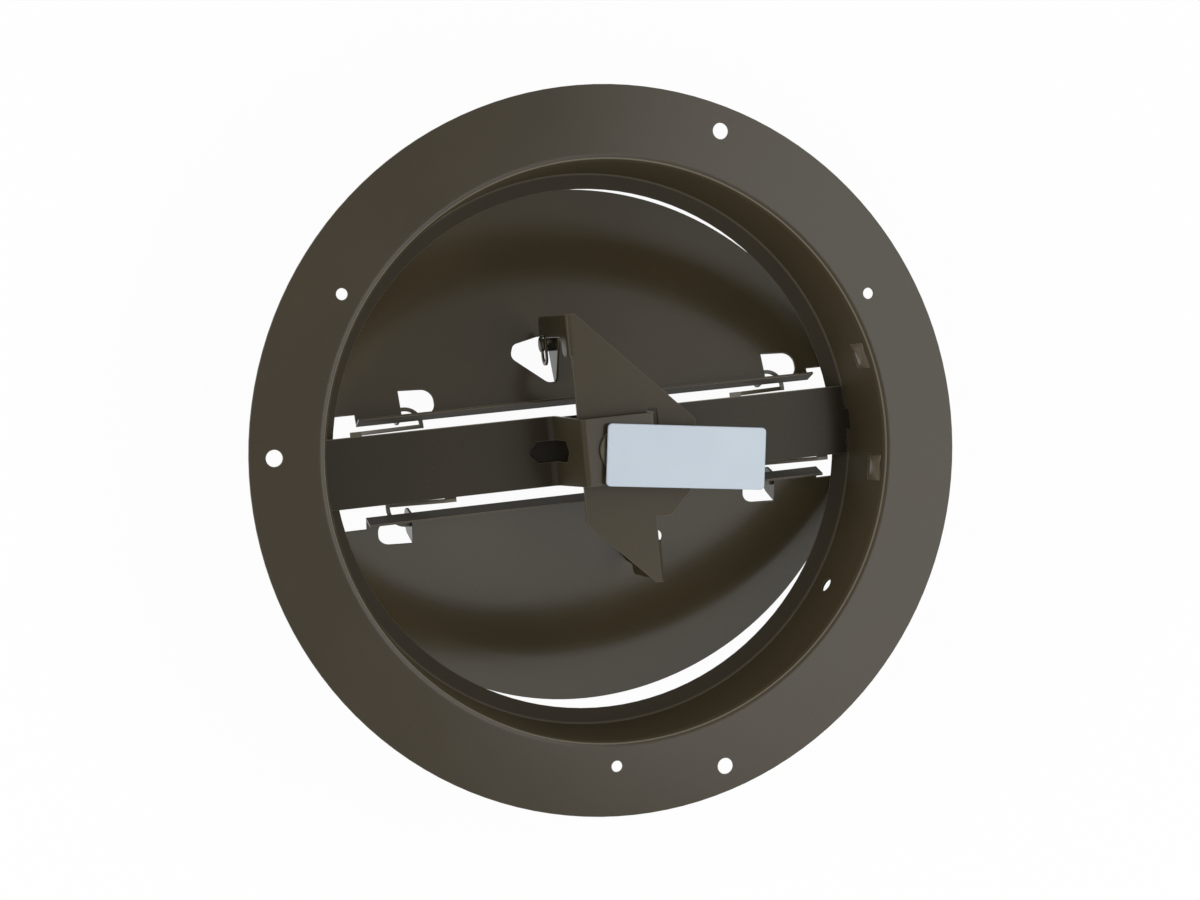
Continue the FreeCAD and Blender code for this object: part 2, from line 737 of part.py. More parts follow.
def make_blade(label, half_turn):
    """Half-round blade, drawn shut, with its hinge axis along X through the origin."""
    name = label.title()
    floor, ceiling = "hinge_drop - half_gauge", "hinge_drop + half_gauge"
    below = "hinge_drop - 2 * gauge"
    disc = cylinder(name + "_disc", "blade_radius", "gauge", ("0", "-hinge_reach", floor))
    notch_size = ("blade_radius", "notch_reach - fold_reach + gauge", "4 * gauge")
    tools = [
        box(name + "_chord", ("2 * blade_radius + 2 * gauge", "2 * blade_radius", "4 * gauge"),
            ("-blade_radius - gauge", "fold_edge - 2 * blade_radius", below)),
        box(name + "_near_notch", notch_size,
            ("-near_notch_reach - blade_radius", "fold_edge - gauge", below)),
        box(name + "_far_notch", notch_size, ("far_notch_reach", "fold_edge - gauge", below)),
    ]
    added = [box(name + "_fold", ("near_notch_reach + far_notch_reach", "gauge",
                                  "fold_height + half_gauge"),
                 ("-near_notch_reach", "fold_edge", floor))]
    for word, fold in (("near", "-ear_reach"), ("far", "ear_reach")):
        tools.append(make_ear_form(f"{name}_{word}_window", "XY_Plane", below, [
            (fold, "-ear_low"),
            (f"{fold} + ear_length", "ear_taper - ear_low"),
            (f"{fold} + ear_length", "ear_high - ear_taper"),
            (fold, "ear_high"),
        ], "4 * gauge"))
        ear = make_ear_form(f"{name}_{word}_ear_blank", "YZ_Plane", f"{fold} - gauge", [
            ("-ear_low", ceiling),
            ("ear_taper - ear_low", f"{ceiling} - ear_length"),
            ("ear_high - ear_taper", f"{ceiling} - ear_length"),
            ("ear_high", ceiling),
        ], "gauge")
        bore = cylinder(f"{name}_{word}_bore", "finger_half_diagonal + ear_bore_clearance",
                        "3 * gauge", (f"{fold} - 2 * gauge", "0", "0"), ALONG_X)
        added.append(cut_away(f"{name}_{word}_ear", ear, [bore]))
    window = new_body(name + "_link_window")
    teardrop(window, name + "_link_window_outline", "XY_Plane", below, "-link_ear_reach - gauge")
    tools.append(window)
    link = new_body(name + "_link_ear_blank")
    teardrop(link, name + "_link_ear_outline", "YZ_Plane", "-link_ear_reach - gauge",
             upright=True)
    pin_hole = cylinder(name + "_pin_hole", "pin_radius", "3 * gauge",
                        ("-link_ear_reach - 2 * gauge", "pin_across", "pin_above"), ALONG_X)
    added.append(cut_away(name + "_link_ear", link, [pin_hole]))
    plate = cut_away(name + "_plate", disc, tools)
    keep(label, joined(name, [plate] + added), blade_seat(half_turn))


def blade_seat(half_turn):
    """Where a blade's own frame stands at rest."""
    opening = number("rest_opening")
    return assembly_seat("0", "hinge_reach", "-hinge_depth", half_turn, -opening)


def tab_place(face, half_turn):
    """How far one face of the yoke's tab stands from the middle of the blade's hinge axis."""
    sign = "+" if half_turn else "-"
    return f"({face} {sign} bridge_shift_x)"


def make_link_pin(label, half_turn):
    """Headed pin, riveted in the link ear, that runs in the slot of the yoke's tab."""
    name = label.title()
    at_height = ("pin_across", "pin_above")
    head_face = tab_place("tab_outer_face", half_turn) + " + side_play"
    shank = cylinder(name + "_shank", "pin_radius", f"{head_face} - link_ear_reach",
                     (f"-({head_face})",) + at_height, ALONG_X)
    head = cylinder(name + "_head", "pin_head_radius", "pin_head_thickness",
                    (f"-({head_face}) - pin_head_thickness",) + at_height, ALONG_X)
    tail = cylinder(name + "_tail", "pin_tail_radius", "pin_tail_thickness",
                    ("-link_ear_reach",) + at_height, ALONG_X)
    keep(label, joined(name, [shank, head, tail]), blade_seat(half_turn))


def make_link_spacer(label, half_turn):
    """Spacer ring between the link ear and the yoke's tab."""
    name = label.title()
    face = tab_place("tab_inner_face", half_turn) + " - side_play"
    length = f"{face} - link_ear_reach - gauge"
    ring = cylinder(name + "_outside", "spacer_radius", length,
                    (f"-({face})", "pin_across", "pin_above"), ALONG_X)
    bore = cylinder(name + "_bore", "pin_radius", f"{length} + 2 * gauge",
                    (f"-({face}) - gauge", "pin_across", "pin_above"), ALONG_X)
    keep(label, cut_away(name, ring, [bore]), blade_seat(half_turn))


def make_yoke_tab(name):
    """Tab folded down from the yoke, with a lobe that holds the pin's slot."""
    body = new_body(name)
    profile = new_sketch(body, name + "_outline", "YZ_Plane", "-tab_outer_face")
    outer = "yoke_apex_reach"
    inner = "yoke_apex_reach - tab_width"
    stem = "yoke_apex_reach - tab_stem"
    shoulder = "yoke_rest_height - tab_shoulder"
    lobe = "slot_half + slot_wall"
    lobe_top, lobe_low = f"-rest_pin_depth + {lobe}", f"-rest_pin_depth - ({lobe})"
    draw_polygon(profile, [
        (inner, "bend_foot"),
        (inner, shoulder),
        (stem, shoulder),
        (stem, lobe_top),
        (f"slot_low - ({lobe})", lobe_top),
        (f"slot_low - ({lobe})", lobe_low),
        (outer, lobe_low),
        (outer, "bend_foot"),
    ])
    plate = pad(body, profile, "gauge")
    inner_y, stem_y, outer_y = number(inner), number(stem), number(outer)
    lobe_y = number(f"slot_low - ({lobe})")
    top_z, low_z = number(lobe_top), number(lobe_low)
    corners = [(inner_y, number(shoulder)), (stem_y, number(shoulder)), (stem_y, top_z),
               (outer_y, low_z)]
    plate = rounded(body, plate, name + "_corners", "tab_corner",
                    lambda edge: is_upright(edge, 0, corners))
    rounded(body, plate, name + "_lobe", f"{lobe} - lobe_flat",
            lambda edge: is_upright(edge, 0, [(lobe_y, top_z), (lobe_y, low_z)]))
    slot = new_sketch(body, name + "_slot", "YZ_Plane", "-tab_outer_face + 2 * gauge")
    draw_polygon(slot, [
        ("slot_low", "-rest_pin_depth - slot_half"),
        ("slot_high", "-rest_pin_depth - slot_half"),
        ("slot_high", "-rest_pin_depth + slot_half"),
        ("slot_low", "-rest_pin_depth + slot_half"),
    ])
    pocket(body, slot, "4 * gauge")
    for word, place in (("low", "slot_low"), ("high", "slot_high")):
        end = new_sketch(body, f"{name}_slot_{word}", "YZ_Plane", "-tab_outer_face + 2 * gauge")
        draw_circle(end, place, "-rest_pin_depth", "slot_half")
        pocket(body, end, "4 * gauge")
    bend = new_body(name + "_bend")
    fold = new_sketch(bend, name + "_bend_profile", "XZ_Plane", "-yoke_apex_reach")
    draw_polygon(fold, [
        ("-tab_outer_face", "yoke_top"),
        ("gauge - bend_start", "yoke_top"),
        ("gauge - bend_start", "yoke_underside"),
        ("-tab_inner_face", "yoke_underside"),
        ("-tab_inner_face", "bend_foot"),
        ("-tab_outer_face", "bend_foot"),
    ])
    strip = pad(bend, fold, "tab_width")
    outside = [(-number("tab_outer_face"), number("yoke_top"))]
    inside = [(-number("tab_inner_face"), number("yoke_underside"))]
    strip = rounded(bend, strip, name + "_bend_outside", "yoke_bend + gauge",
                    lambda edge: is_upright(edge, 1, outside))
    rounded(bend, strip, name + "_bend_inside", "yoke_bend",
            lambda edge: is_upright(edge, 1, inside))
    return joined(name + "_whole", [body, bend])


def make_yoke_plate():
    """Plate inside the hat that carries both tabs and rises and falls with the nut."""
    body = new_body("Yoke_blank")
    outline = new_sketch(body, "Yoke_outline", "XY_Plane", "yoke_underside")
    side = "hat_inner_half - yoke_leg_gap"
    apex = "tab_outer_face - yoke_apex_width"
    tab_start = "yoke_apex_reach - tab_width"
    draw_polygon(outline, [
        ("-bend_start", "yoke_apex_reach"),
        (f"-({apex})", "yoke_apex_reach"),
        ("yoke_wing_reach", f"yoke_apex_reach - yoke_wing_reach - ({apex})"),
        ("yoke_wing_reach", "-yoke_wing_low"),
        ("yoke_wing_reach - (yoke_shoulder_low - yoke_wing_low)", "-yoke_shoulder_low"),
        (side, "-yoke_shoulder_low"),
        (side, f"-({tab_start})"),
        ("bend_start", f"-({tab_start})"),
        ("bend_start", "-yoke_apex_reach"),
        ("tab_outer_face - yoke_toe_width", "-yoke_apex_reach"),
        (f"-({side})", "-yoke_shoulder_low"),
        (f"-({side})", tab_start),
        ("-bend_start", tab_start),
    ])
    pad(body, outline, "gauge")
    openings = new_sketch(body, "Yoke_openings", "XY_Plane", "yoke_top")
    draw_circle(openings, "0", "0", "nut_hole_radius")
    low, high = "-bar_width / 2 - leg_window_gap", "bar_width / 2 + leg_window_gap"
    near = "hat_inner_half - leg_window_gap"
    far = "hat_outer_width / 2 + leg_window_overrun"
    draw_polygon(openings, [(near, low), (far, low), (far, high), (near, high)])
    pocket(body, openings, "2 * gauge")
    upper_tab = make_yoke_tab("Upper_tab")
    lower_tab = make_yoke_tab("Lower_tab")
    lower_tab.Placement = FreeCAD.Placement(FreeCAD.Vector(), about_z("180"))
    rivet_holes = rivet_set("Rivet_hole", "rivet_radius", "3 * gauge", "yoke_underside - gauge")
    plate = cut_away("Yoke_flat", body, rivet_holes)
    keep("yoke_plate", joined("Yoke_plate", [plate, upper_tab, lower_tab]), bridge_seat())


def rivet_set(name, radius, height, base):
    """Two cylinders in opposite corners of the nut's flange."""
    rods = []
    for index, angle in enumerate(RIVET_TURNS):
        rods.append(cylinder(f"{name}_{index}", radius, height,
                             (f"rivet_circle * cos({angle})", f"rivet_circle * sin({angle})",
                              base)))
    return rods


def make_yoke_nut():
    """Six-sided nut with a square flange under the yoke plate, running on the screw."""
    top = "yoke_underside"
    flange = prism("Nut_flange", 4, "nut_flange_radius", "nut_flange",
                   ("0", "0", f"{top} - nut_flange"))
    barrel = prism("Nut_barrel", 6, "nut_barrel_radius", "nut_length",
                   ("0", "0", f"{top} - nut_length"))
    bore = cylinder("Nut_bore", "screw_radius + running_gap", "nut_length + 2 * gauge",
                    ("0", "0", f"{top} - nut_length - gauge"))
    holes = rivet_set("Nut_rivet_hole", "rivet_radius", "nut_flange + 2 * gauge",
                      f"{top} - nut_flange - gauge")
    keep("yoke_nut", cut_away("Yoke_nut", joined("Nut_blank", [flange, barrel]), [bore] + holes),
         bridge_seat())


def make_nut_rivets():
    """Two rivets, flush with the yoke plate's top and headed under the nut's flange."""
    foot = "yoke_underside - nut_flange"
    shanks = rivet_set("Rivet_shank", "rivet_radius", "nut_flange + gauge", foot)
    heads = rivet_set("Rivet_head", "rivet_head_radius", "rivet_head", f"{foot} - rivet_head")
    keep("nut_rivets", joined("Nut_rivets", shanks + heads), bridge_seat())


def ring(label, inner, outer, thickness, base):
    """A flat ring about the pivot."""
    name = label.title()
    blank = cylinder(name + "_outside", outer, thickness, ("0", "0", base))
    bore = cylinder(name + "_bore", inner, f"{thickness} + 2 * gauge",
                    ("0", "0", f"{base} - gauge"))
    keep(label, cut_away(name, blank, [bore]), bridge_seat())


def make_pivot():
    """Bush in the hat, screw through it, and the rings that hold the screw up and down."""
    flange = cylinder("Bush_flange", "bush_flange_radius", "bush_flange", ("0", "0", "hat_height"))
    sleeve = cylinder("Bush_sleeve", "bush_radius", "gauge + bush_flange",
                      ("0", "0", "hat_height - gauge"))
    bore = cylinder("Bush_bore", "screw_radius + running_gap", "3 * gauge + bush_flange",
                    ("0", "0", "hat_height - 2 * gauge"))
    keep("pivot_bush", cut_away("Pivot_bush", joined("Bush_blank", [flange, sleeve]), [bore]),
         bridge_seat())

    hat_underside = "hat_height - gauge"
    ring_top = f"{hat_underside} - wave_washer - running_gap"
    screw_bottom = "yoke_rest_height - screw_below_yoke"
    shaft = cylinder("Screw_shaft", "screw_radius", f"lever_underside - ({screw_bottom})",
                     ("0", "0", screw_bottom))
    washer_base = "hat_height + bush_flange + running_gap"
    washer_top = f"{washer_base} + lever_washer"
    shoulder = cylinder("Screw_shoulder", "screw_shoulder_radius",
                        f"lever_underside - ({washer_top})", ("0", "0", washer_top))
    keep("lever_screw", joined("Lever_screw", [shaft, shoulder]), bridge_seat())

    ring("lever_washer", "screw_radius + running_gap", "bush_flange_radius - running_gap",
         "lever_washer", washer_base)
    ring("wave_washer", "screw_radius + running_gap", "screw_radius + ring_width",
         "wave_washer", ring_top)
    ring("retaining_ring", "screw_radius", "screw_radius + ring_width", "ring_thickness",
         f"{ring_top} - ring_thickness")
    ring("screw_end_ring", "screw_radius", "screw_radius + ring_width", "ring_thickness",
         f"{screw_bottom} + ring_thickness")


def make_lever():
    """Flat plate on the screw's head, with rounded corners."""
    body = new_body("Lever")
    outline = new_sketch(body, "Lever_outline", "XY_Plane", "lever_underside")
    low = "-lever_side_shift - lever_width / 2"
    high = "-lever_side_shift + lever_width / 2"
    near, far = "-lever_end", "lever_length - lever_end"
    draw_polygon(outline, [(near, low), (far, low), (far, high), (near, high)])
    plate = pad(body, outline, "lever_thickness")
    places = [(number(across), number(up)) for across in (near, far) for up in (low, high)]
    rounded(body, plate, "Lever_corners", "lever_corner",
            lambda edge: is_upright(edge, 2, places))
    keep("lever", body, FreeCAD.Placement(bridge_seat().Base, about_z("lever_angle")))


def check(things):
    """Stops the build if any object failed or any sub-part is not sound."""
    for thing in doc.Objects:
        if "Invalid" in thing.State or "Error" in thing.State:
            raise RuntimeError("failed: " + thing.Name)
    for thing in things:
        shape = thing.Shape
        if shape.isNull() or not shape.isValid() or not shape.Solids:
            raise RuntimeError("bad shape: " + thing.Label)


make_flange_collar()
make_crossbar()
make_bridge_base()
make_blade("upper_blade", 0)
make_blade("lower_blade", 180)
make_link_pin("upper_link_pin", 0)
make_link_pin("lower_link_pin", 180)
make_link_spacer("upper_link_spacer", 0)
make_link_spacer("lower_link_spacer", 180)
make_yoke_plate()
make_yoke_nut()
make_nut_rivets()
make_pivot()
make_lever()
doc.recompute()
check(subparts)

os.makedirs("parts", exist_ok=True)
for subpart in subparts:
    subpart.Shape.exportStep(f"parts/{subpart.Label}.step")
    extent = subpart.Shape.BoundBox
    print(f"{subpart.Label}: {len(subpart.Shape.Solids)} solids, "
          f"{subpart.Shape.Volume:.1f} mm3, "
          f"x {extent.XMin:.1f}..{extent.XMax:.1f} y {extent.YMin:.1f}..{extent.YMax:.1f} "
          f"z {extent.ZMin:.1f}..{extent.ZMax:.1f}")
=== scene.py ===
"""Looks for a round butterfly damper: dark bronze sheet metal, a white lever and plated fittings.

Everything is in metres, in the damper's own frame: +Z along the duct, out of it and towards
the viewer, with the origin on the duct axis at the flange's front face.
"""

import math
from types import SimpleNamespace

import bpy
import numpy as np
from mathutils import Matrix, Vector


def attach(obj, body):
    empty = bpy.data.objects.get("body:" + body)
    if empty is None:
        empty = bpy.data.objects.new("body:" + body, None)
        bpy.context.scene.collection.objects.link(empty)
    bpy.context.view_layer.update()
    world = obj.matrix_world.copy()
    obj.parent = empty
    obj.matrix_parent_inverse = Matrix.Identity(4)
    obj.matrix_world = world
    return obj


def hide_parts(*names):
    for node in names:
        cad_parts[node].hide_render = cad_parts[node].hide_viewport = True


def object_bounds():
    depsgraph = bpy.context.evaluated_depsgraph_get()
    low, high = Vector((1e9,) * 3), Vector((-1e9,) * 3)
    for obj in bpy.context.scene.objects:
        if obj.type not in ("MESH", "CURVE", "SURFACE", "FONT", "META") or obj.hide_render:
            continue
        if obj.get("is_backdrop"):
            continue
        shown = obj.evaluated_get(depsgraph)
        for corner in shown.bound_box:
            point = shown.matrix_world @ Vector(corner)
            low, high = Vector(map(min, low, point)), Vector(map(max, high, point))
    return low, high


bl_info = {
    "name": "Butterfly damper",
    "version": (1, 0, 0),
    "blender": (4, 5, 0),
    "location": "View3D > Sidebar > Damper",
    "description": "Finishes a packed butterfly damper: paint, plating, lever, screw and stage",
    "category": "Add Mesh",
}

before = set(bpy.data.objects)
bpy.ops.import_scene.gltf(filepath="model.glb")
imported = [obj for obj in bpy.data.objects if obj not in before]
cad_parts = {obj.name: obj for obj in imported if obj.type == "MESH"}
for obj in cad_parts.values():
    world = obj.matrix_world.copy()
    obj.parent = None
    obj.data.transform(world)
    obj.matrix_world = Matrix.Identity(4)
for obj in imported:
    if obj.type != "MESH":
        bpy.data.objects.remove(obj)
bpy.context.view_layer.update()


def turn_about(axis, degrees):
    return Matrix.Rotation(math.radians(degrees), 4, axis)


def shift(x, y, z):
    return Matrix.Translation((x, y, z))


# The assembly frame of the blades, and the pivot's own frame, as the solids are laid out.
ASSEMBLY = turn_about("Z", 5.0) @ shift(0.0011, 0.0006, 0.0)
PIVOT = ASSEMBLY @ shift(-0.00085, 0.0004, 0.0)

# The collar's wall, and the two lanced tabs in it. The mouth half width is that of a tab
# beyond its free end, where it laps over the lance's open mouth. A tab's back stands a gap
# outside the wall's face and its rim a gap inside it.
WALL_TOP_RADIUS = 0.0989
WALL_TAPER = 2.1 / 31
TAB_ANGLES = (18.6, -4.7)
TAB_DEPTH = 0.0074
TAB_ENDS = (-0.0039, 0.0053)
TAB_FREE_END = 0.0036
TAB_HALF_WIDTH = 0.0042
TAB_MOUTH_HALF_WIDTH = 0.0049
TAB_BACK_GAP = 0.0001
TAB_FRONT_GAP = 0.00002

# The blades' hinges and the pins on their link ears. The faces are distances along the hinge
# from the assembly's middle.
HINGE_REACH = 0.02
HINGE_DEPTH = 0.035002
REST_OPENING = 19.5
LINK_RADIUS = 0.018
LINK_RISE = math.radians(30.0)
PIN_TAIL_FACE = 0.0099
PIN_HEAD_FACES = {"upper": 0.0144, "lower": 0.0127}
PIN_TAIL_DOME = 0.0005
HEAD_DOME = 0.0006
DOME_SHARE = 0.94

# How finely a turned piece is divided around, and the angle from which an edge stays sharp.
AROUND = 48
SHARP_ANGLE = math.radians(40)

# What sits on the pivot: lever, screw, spring and the nut's two rivets.
LEVER_OVERHANG = 0.00575
LEVER_DROP = 0.0018
LEVER_BASE = 0.01
SCREW_LOW = -0.0234
THREAD_HIGH = 0.0056
THREAD_ROWS = 190
SHOULDER_RADIUS = 0.0056
SHOULDER_LOW = 0.00935
SPRING_RADII = (0.00405, 0.0057)
SPRING_MIDDLE = 0.007
SPRING_SHEET = 0.00014
SPRING_AROUND = 72
RIVET_REACH = 0.0086
RIVET_ANGLES = (45, 225)
RIVET_FACE = 0.001
RIVET_CHAMFER = 0.1
RIVET_AROUND = 32

# Where the bronze paint changes. Each pair is the start and the end of a change: distances
# from the duct's axis or from a line, heights, levels of a noise, or how squarely a face looks
# along an axis, from 0 to 1. Every face is squarer than the last pair asks for.
MOUTH_REACH = 0.1
MOUTH_BAND = (0.0016, 0.002)
# These four place the painted highlight lines: on the mouth's crest and on the seam where the wall
# meets the lip.
CREST_REACH = 0.0999
CREST_LINE = (0.00015, 0.0003)
SEAM_DEPTH = 0.0283
SEAM_LINE = (0.0002, 0.0004)
# Where the painted sheen beyond the crossbar's edges begins.
FINGER_REACH = (0.0123, 0.01235)
# The next two place painted shade: on the bar's right end, and on level faces low in the duct.
BAR_END_SHADE = (0.0895, 0.0925)
DEEP_HEIGHTS = (-0.022, -0.012)
LYING = (0.3, 0.5)
SQUARE = (0.8, 0.95)
SHARP_EDGE = (0.05, 0.2)
SPECK_LEVELS = (0.62, 0.72)
EVERY_FACE = (-1.0, -0.5)

# How far the bronze paint turns pale, from 0 to 1: wear and painted highlight on sheared
# edges, specks of wear, painted sheen and painted highlight lines; and how far the lever's
# edge is whiter, a painted highlight.
EDGE_WEAR_AND_HIGHLIGHT = 0.7
SPECK_WEAR = 0.03
FINGER_SHEEN = 0.3
SEAM_HIGHLIGHT = 0.16
CREST_HIGHLIGHT = 0.4
WHITE_EDGE_HIGHLIGHT = 0.8

FITTING_NODES = (
    "upper_link_spacer", "lower_link_spacer", "yoke_nut", "lever_washer",
    "retaining_ring", "screw_end_ring",
)

# How the bronze paint lies on a pressing, with its painted light, shade and sheen, where its own
# coat doesn't say otherwise.
PLAIN_COAT = {
    "level": (0.45, 0.7),  # how level a face must be to be wetted, at first and in full
    "gloss": 1.0,  # gloss of the wetted faces
    "shade": 1.0,  # brightness of the whole coat, which also carries painted shade and painted highlight
    "deep_gloss": 1.0,  # gloss of the wetted faces low in the duct
    "deep_shade": 1.0,  # painted shade on the level faces low in the duct, as a brightness
    "upright_shade": 1.0,  # painted light above 1, painted shade below 1, on the upright faces
    "side": "X",  # the axis that some upright glossy faces look along
    "side_gloss": 0.0,  # their gloss
    "mouth": False,  # whether the mouth is rounded, with painted highlights along two fine lines
    "rubbed": False,  # whether all that lies beyond the bar's edges gets a painted sheen, paler and glossier
    "end_shade": 1.0,  # painted shade on the bar's right end, where it would mirror the dark wall
}


def coat(*nodes, **changes):
    """The plain coat with some changes, and the nodes of the frame that get it."""
    return SimpleNamespace(nodes=nodes, **{**PLAIN_COAT, **changes})


# Painted light and shade in the coats: painted shade on the collar's lip and the crossbar low in
# the duct, on the crossbar's right end, on the blades' upright folds and on the whole bridge base;
# painted light on the collar's upright walls; painted highlight on the tabs and spring fingers. The
# blades' overall brightness of 1.15 only lifts their tone.
BRONZE_COATS = {
    "Bronze paint, collar": coat("flange_collar", level=(0.9, 0.96), deep_shade=0.72,
                                 upright_shade=1.36, mouth=True),
    "Bronze paint, crossbar": coat("crossbar", level=(0.9, 0.97), gloss=0.85, deep_gloss=0.33,
                                   deep_shade=0.58, side="Y", side_gloss=0.7, rubbed=True,
                                   end_shade=0.6),
    # The bridge's base is painted almost black: painted shade under the bridge.
    "Bronze paint, base": coat("bridge_base", gloss=0.1, shade=0.2),
    "Bronze paint, blades": coat("upper_blade", "lower_blade", shade=1.15, upright_shade=0.45,
                                 side_gloss=1.0),
    "Bronze paint, yoke": coat("yoke_plate", "pivot_bush", gloss=0.36, side_gloss=1.0),
    # The lanced tabs are painted lighter and get the painted sheen: painted highlights on their
    # bellies.
    "Bronze paint, tabs": coat(level=EVERY_FACE, shade=1.6, rubbed=True),
}

# The soft lamps: name, the setting with its power, place, side, colour, and roll in degrees.
LAMPS = (
    ("softbox_right", "right_lamp", (0.78, 0.01, 1.2), 0.9, (1.0, 1.0, 1.0), -14.0),
    ("softbox_near", "near_lamp", (0.4, -1.0, 1.1), 1.0, (0.93, 0.98, 1.0), 0.0),
    ("softbox_far", "far_lamp", (0.8, 1.0, 1.1), 0.8, (0.95, 0.99, 1.0), 0.0),
    ("softbox_left", "left_lamp", (-1.2, 0.0, 0.5), 0.8, (1.0, 0.98, 0.94), 0.0),
)
WHITE = (1.0, 1.0, 1.0, 1.0)
SKY_COLOUR = (1.0, 0.99, 0.97, 1.0)
MATT_FLOOR = (0.9, 0.9, 0.9, 1.0)
FLOOR_GAP = 0.0005
SENSOR_WIDTH = 36.0
NEAREST_SEEN = 0.01


def linear(red, green, blue):
    """A colour as seen on a screen, 0 to 255, turned into the light that it stands for."""
    shares = np.array((red, green, blue)) / 255
    light = np.where(shares <= 0.04045, shares / 12.92, ((shares + 0.055) / 1.055) ** 2.4)
    return tuple(float(part) for part in light)


class Signal:
    """One output of a shader node. Arithmetic on it adds Math nodes."""

    def __init__(self, work, socket):
        self.work = work
        self.socket = socket

    def math(self, operation, first, second=0.0):
        return self.work.node("ShaderNodeMath", {"operation": operation}, {0: first, 1: second})

    def __add__(self, other):
        return self.math("ADD", self, other)

    def __radd__(self, other):
        return self.math("ADD", other, self)

    def __sub__(self, other):
        return self.math("SUBTRACT", self, other)

    def __rsub__(self, other):
        return self.math("SUBTRACT", other, self)

    def __mul__(self, other):
        return self.math("MULTIPLY", self, other)

    def __rmul__(self, other):
        return self.math("MULTIPLY", other, self)

    def __truediv__(self, other):
        return self.math("DIVIDE", self, other)

    def __abs__(self):
        return self.math("ABSOLUTE", self)

    def clamped(self):
        return self.math("MINIMUM", self.math("MAXIMUM", self, 0.0), 1.0)

    def ramp(self, low, high):
        """0 below low, 1 above high and even in between."""
        return ((self - low) / (high - low)).clamped()


class NodeWork:
    """A node tree under construction, with one method that adds any node."""

    def __init__(self, tree):
        self.tree = tree
        self.tree.nodes.clear()

    def node(self, kind, settings=None, inputs=None, output=0):
        """Adds a node: its settings first, then the values or links of its sockets."""
        made = self.tree.nodes.new(kind)
        for name, setting in (settings or {}).items():
            setattr(made, name, setting)
        for name, given in (inputs or {}).items():
            if isinstance(given, Signal):
                self.tree.links.new(given.socket, made.inputs[name])
            else:
                made.inputs[name].default_value = given
        return Signal(self, made.outputs[output]) if made.outputs else None

    def vector(self, operation, first, second, output=0):
        """Vector arithmetic on two vectors."""
        return self.node("ShaderNodeVectorMath", {"operation": operation},
                         {0: first, 1: second}, output)

    def position(self):
        return self.node("ShaderNodeTexCoord", output="Object")

    def part_of(self, vector, axis):
        """One of the three parts of a vector, as a number."""
        return self.node("ShaderNodeSeparateXYZ", inputs={"Vector": vector}, output=axis)

    def rounded_normal(self, width):
        """The surface's direction, turned round every edge over the given width."""
        return self.node("ShaderNodeBevel", {"samples": 6}, {"Radius": width}, output="Normal")

    def edge_mask(self, normal):
        """1 on sharp edges, 0 on flats and on gentle bends."""
        flat = self.node("ShaderNodeNewGeometry", output="Normal")
        likeness = self.vector("DOT_PRODUCT", normal, flat, "Value")
        return (1.0 - likeness).ramp(*SHARP_EDGE)

    def facing(self, axis, low, high):
        """1 on faces that look along an axis, in the piece's own frame, and 0 on the others."""
        flat = self.node("ShaderNodeNewGeometry", output="True Normal")
        own = self.node("ShaderNodeVectorTransform",
                        {"vector_type": "NORMAL", "convert_from": "WORLD", "convert_to": "OBJECT"},
                        {"Vector": flat})
        return abs(self.part_of(own, axis)).ramp(low, high)

    def noise(self, scale, detail=2.0, rough=0.5, stretch=None):
        """Grey noise from 0 to 1, with its features about 1 / scale metres apart."""
        place = self.position()
        if stretch:
            place = self.node("ShaderNodeMapping", inputs={"Vector": place, "Scale": stretch})
        return self.node("ShaderNodeTexNoise", inputs={
            "Vector": place, "Scale": scale, "Detail": detail, "Roughness": rough})

    def mix(self, factor, low, high):
        """A colour between two others."""
        low, high = ((*end, 1.0) if isinstance(end, tuple) else end for end in (low, high))
        return self.node("ShaderNodeMix", {"data_type": "RGBA"},
                         {"Factor": factor, 6: low, 7: high}, output=2)

    def blend(self, factor, first, second):
        """A shader between two others."""
        return self.node("ShaderNodeMixShader", inputs={0: factor, 1: first, 2: second})

    def bump(self, height, normal, distance, strength):
        return self.node("ShaderNodeBump", inputs={
            "Height": height, "Distance": distance, "Strength": strength, "Normal": normal})

    def principled(self, inputs):
        return self.node("ShaderNodeBsdfPrincipled", inputs=inputs)

    def unlit_share(self):
        """1 for rays that look straight, through a hole or by a mirror at the background."""
        rays = [self.node("ShaderNodeLightPath", output=name)
                for name in ("Is Camera Ray", "Is Transmission Ray", "Is Glossy Ray")]
        return (rays[0] + rays[1] + rays[2]).clamped()

    def show(self, shader, kind="ShaderNodeOutputMaterial"):
        self.node(kind, inputs={"Surface": shader})


def duct_reach(work):
    """How far a point lies from the duct's axis."""
    flat_place = work.vector("MULTIPLY", work.position(), (1.0, 1.0, 0.0))
    return work.node("ShaderNodeVectorMath", {"operation": "LENGTH"}, {0: flat_place},
                     output="Value")


def mouth_normal(work, look, sharp):
    """Rounds the bend at the collar's mouth more than a sheared edge."""
    mouth = 1.0 - abs(duct_reach(work) - MOUTH_REACH).ramp(*MOUTH_BAND)
    soft = work.rounded_normal(look.mouth_width)
    return work.node("ShaderNodeMix", {"data_type": "VECTOR"},
                     {"Factor": mouth, 4: sharp, 5: soft}, output=1)


def finger_sheen_mask(work):
    """1 where a painted sheen goes: on what lies beyond the crossbar's edges, as its spring fingers
    do; 0 elsewhere.
    """
    across = tuple(ASSEMBLY.col[1][:3])
    reach = work.vector("DOT_PRODUCT", work.position(), across, "Value")
    middle = sum(part * shifted for part, shifted in zip(across, ASSEMBLY.translation))
    return abs(reach - middle).ramp(*FINGER_REACH)


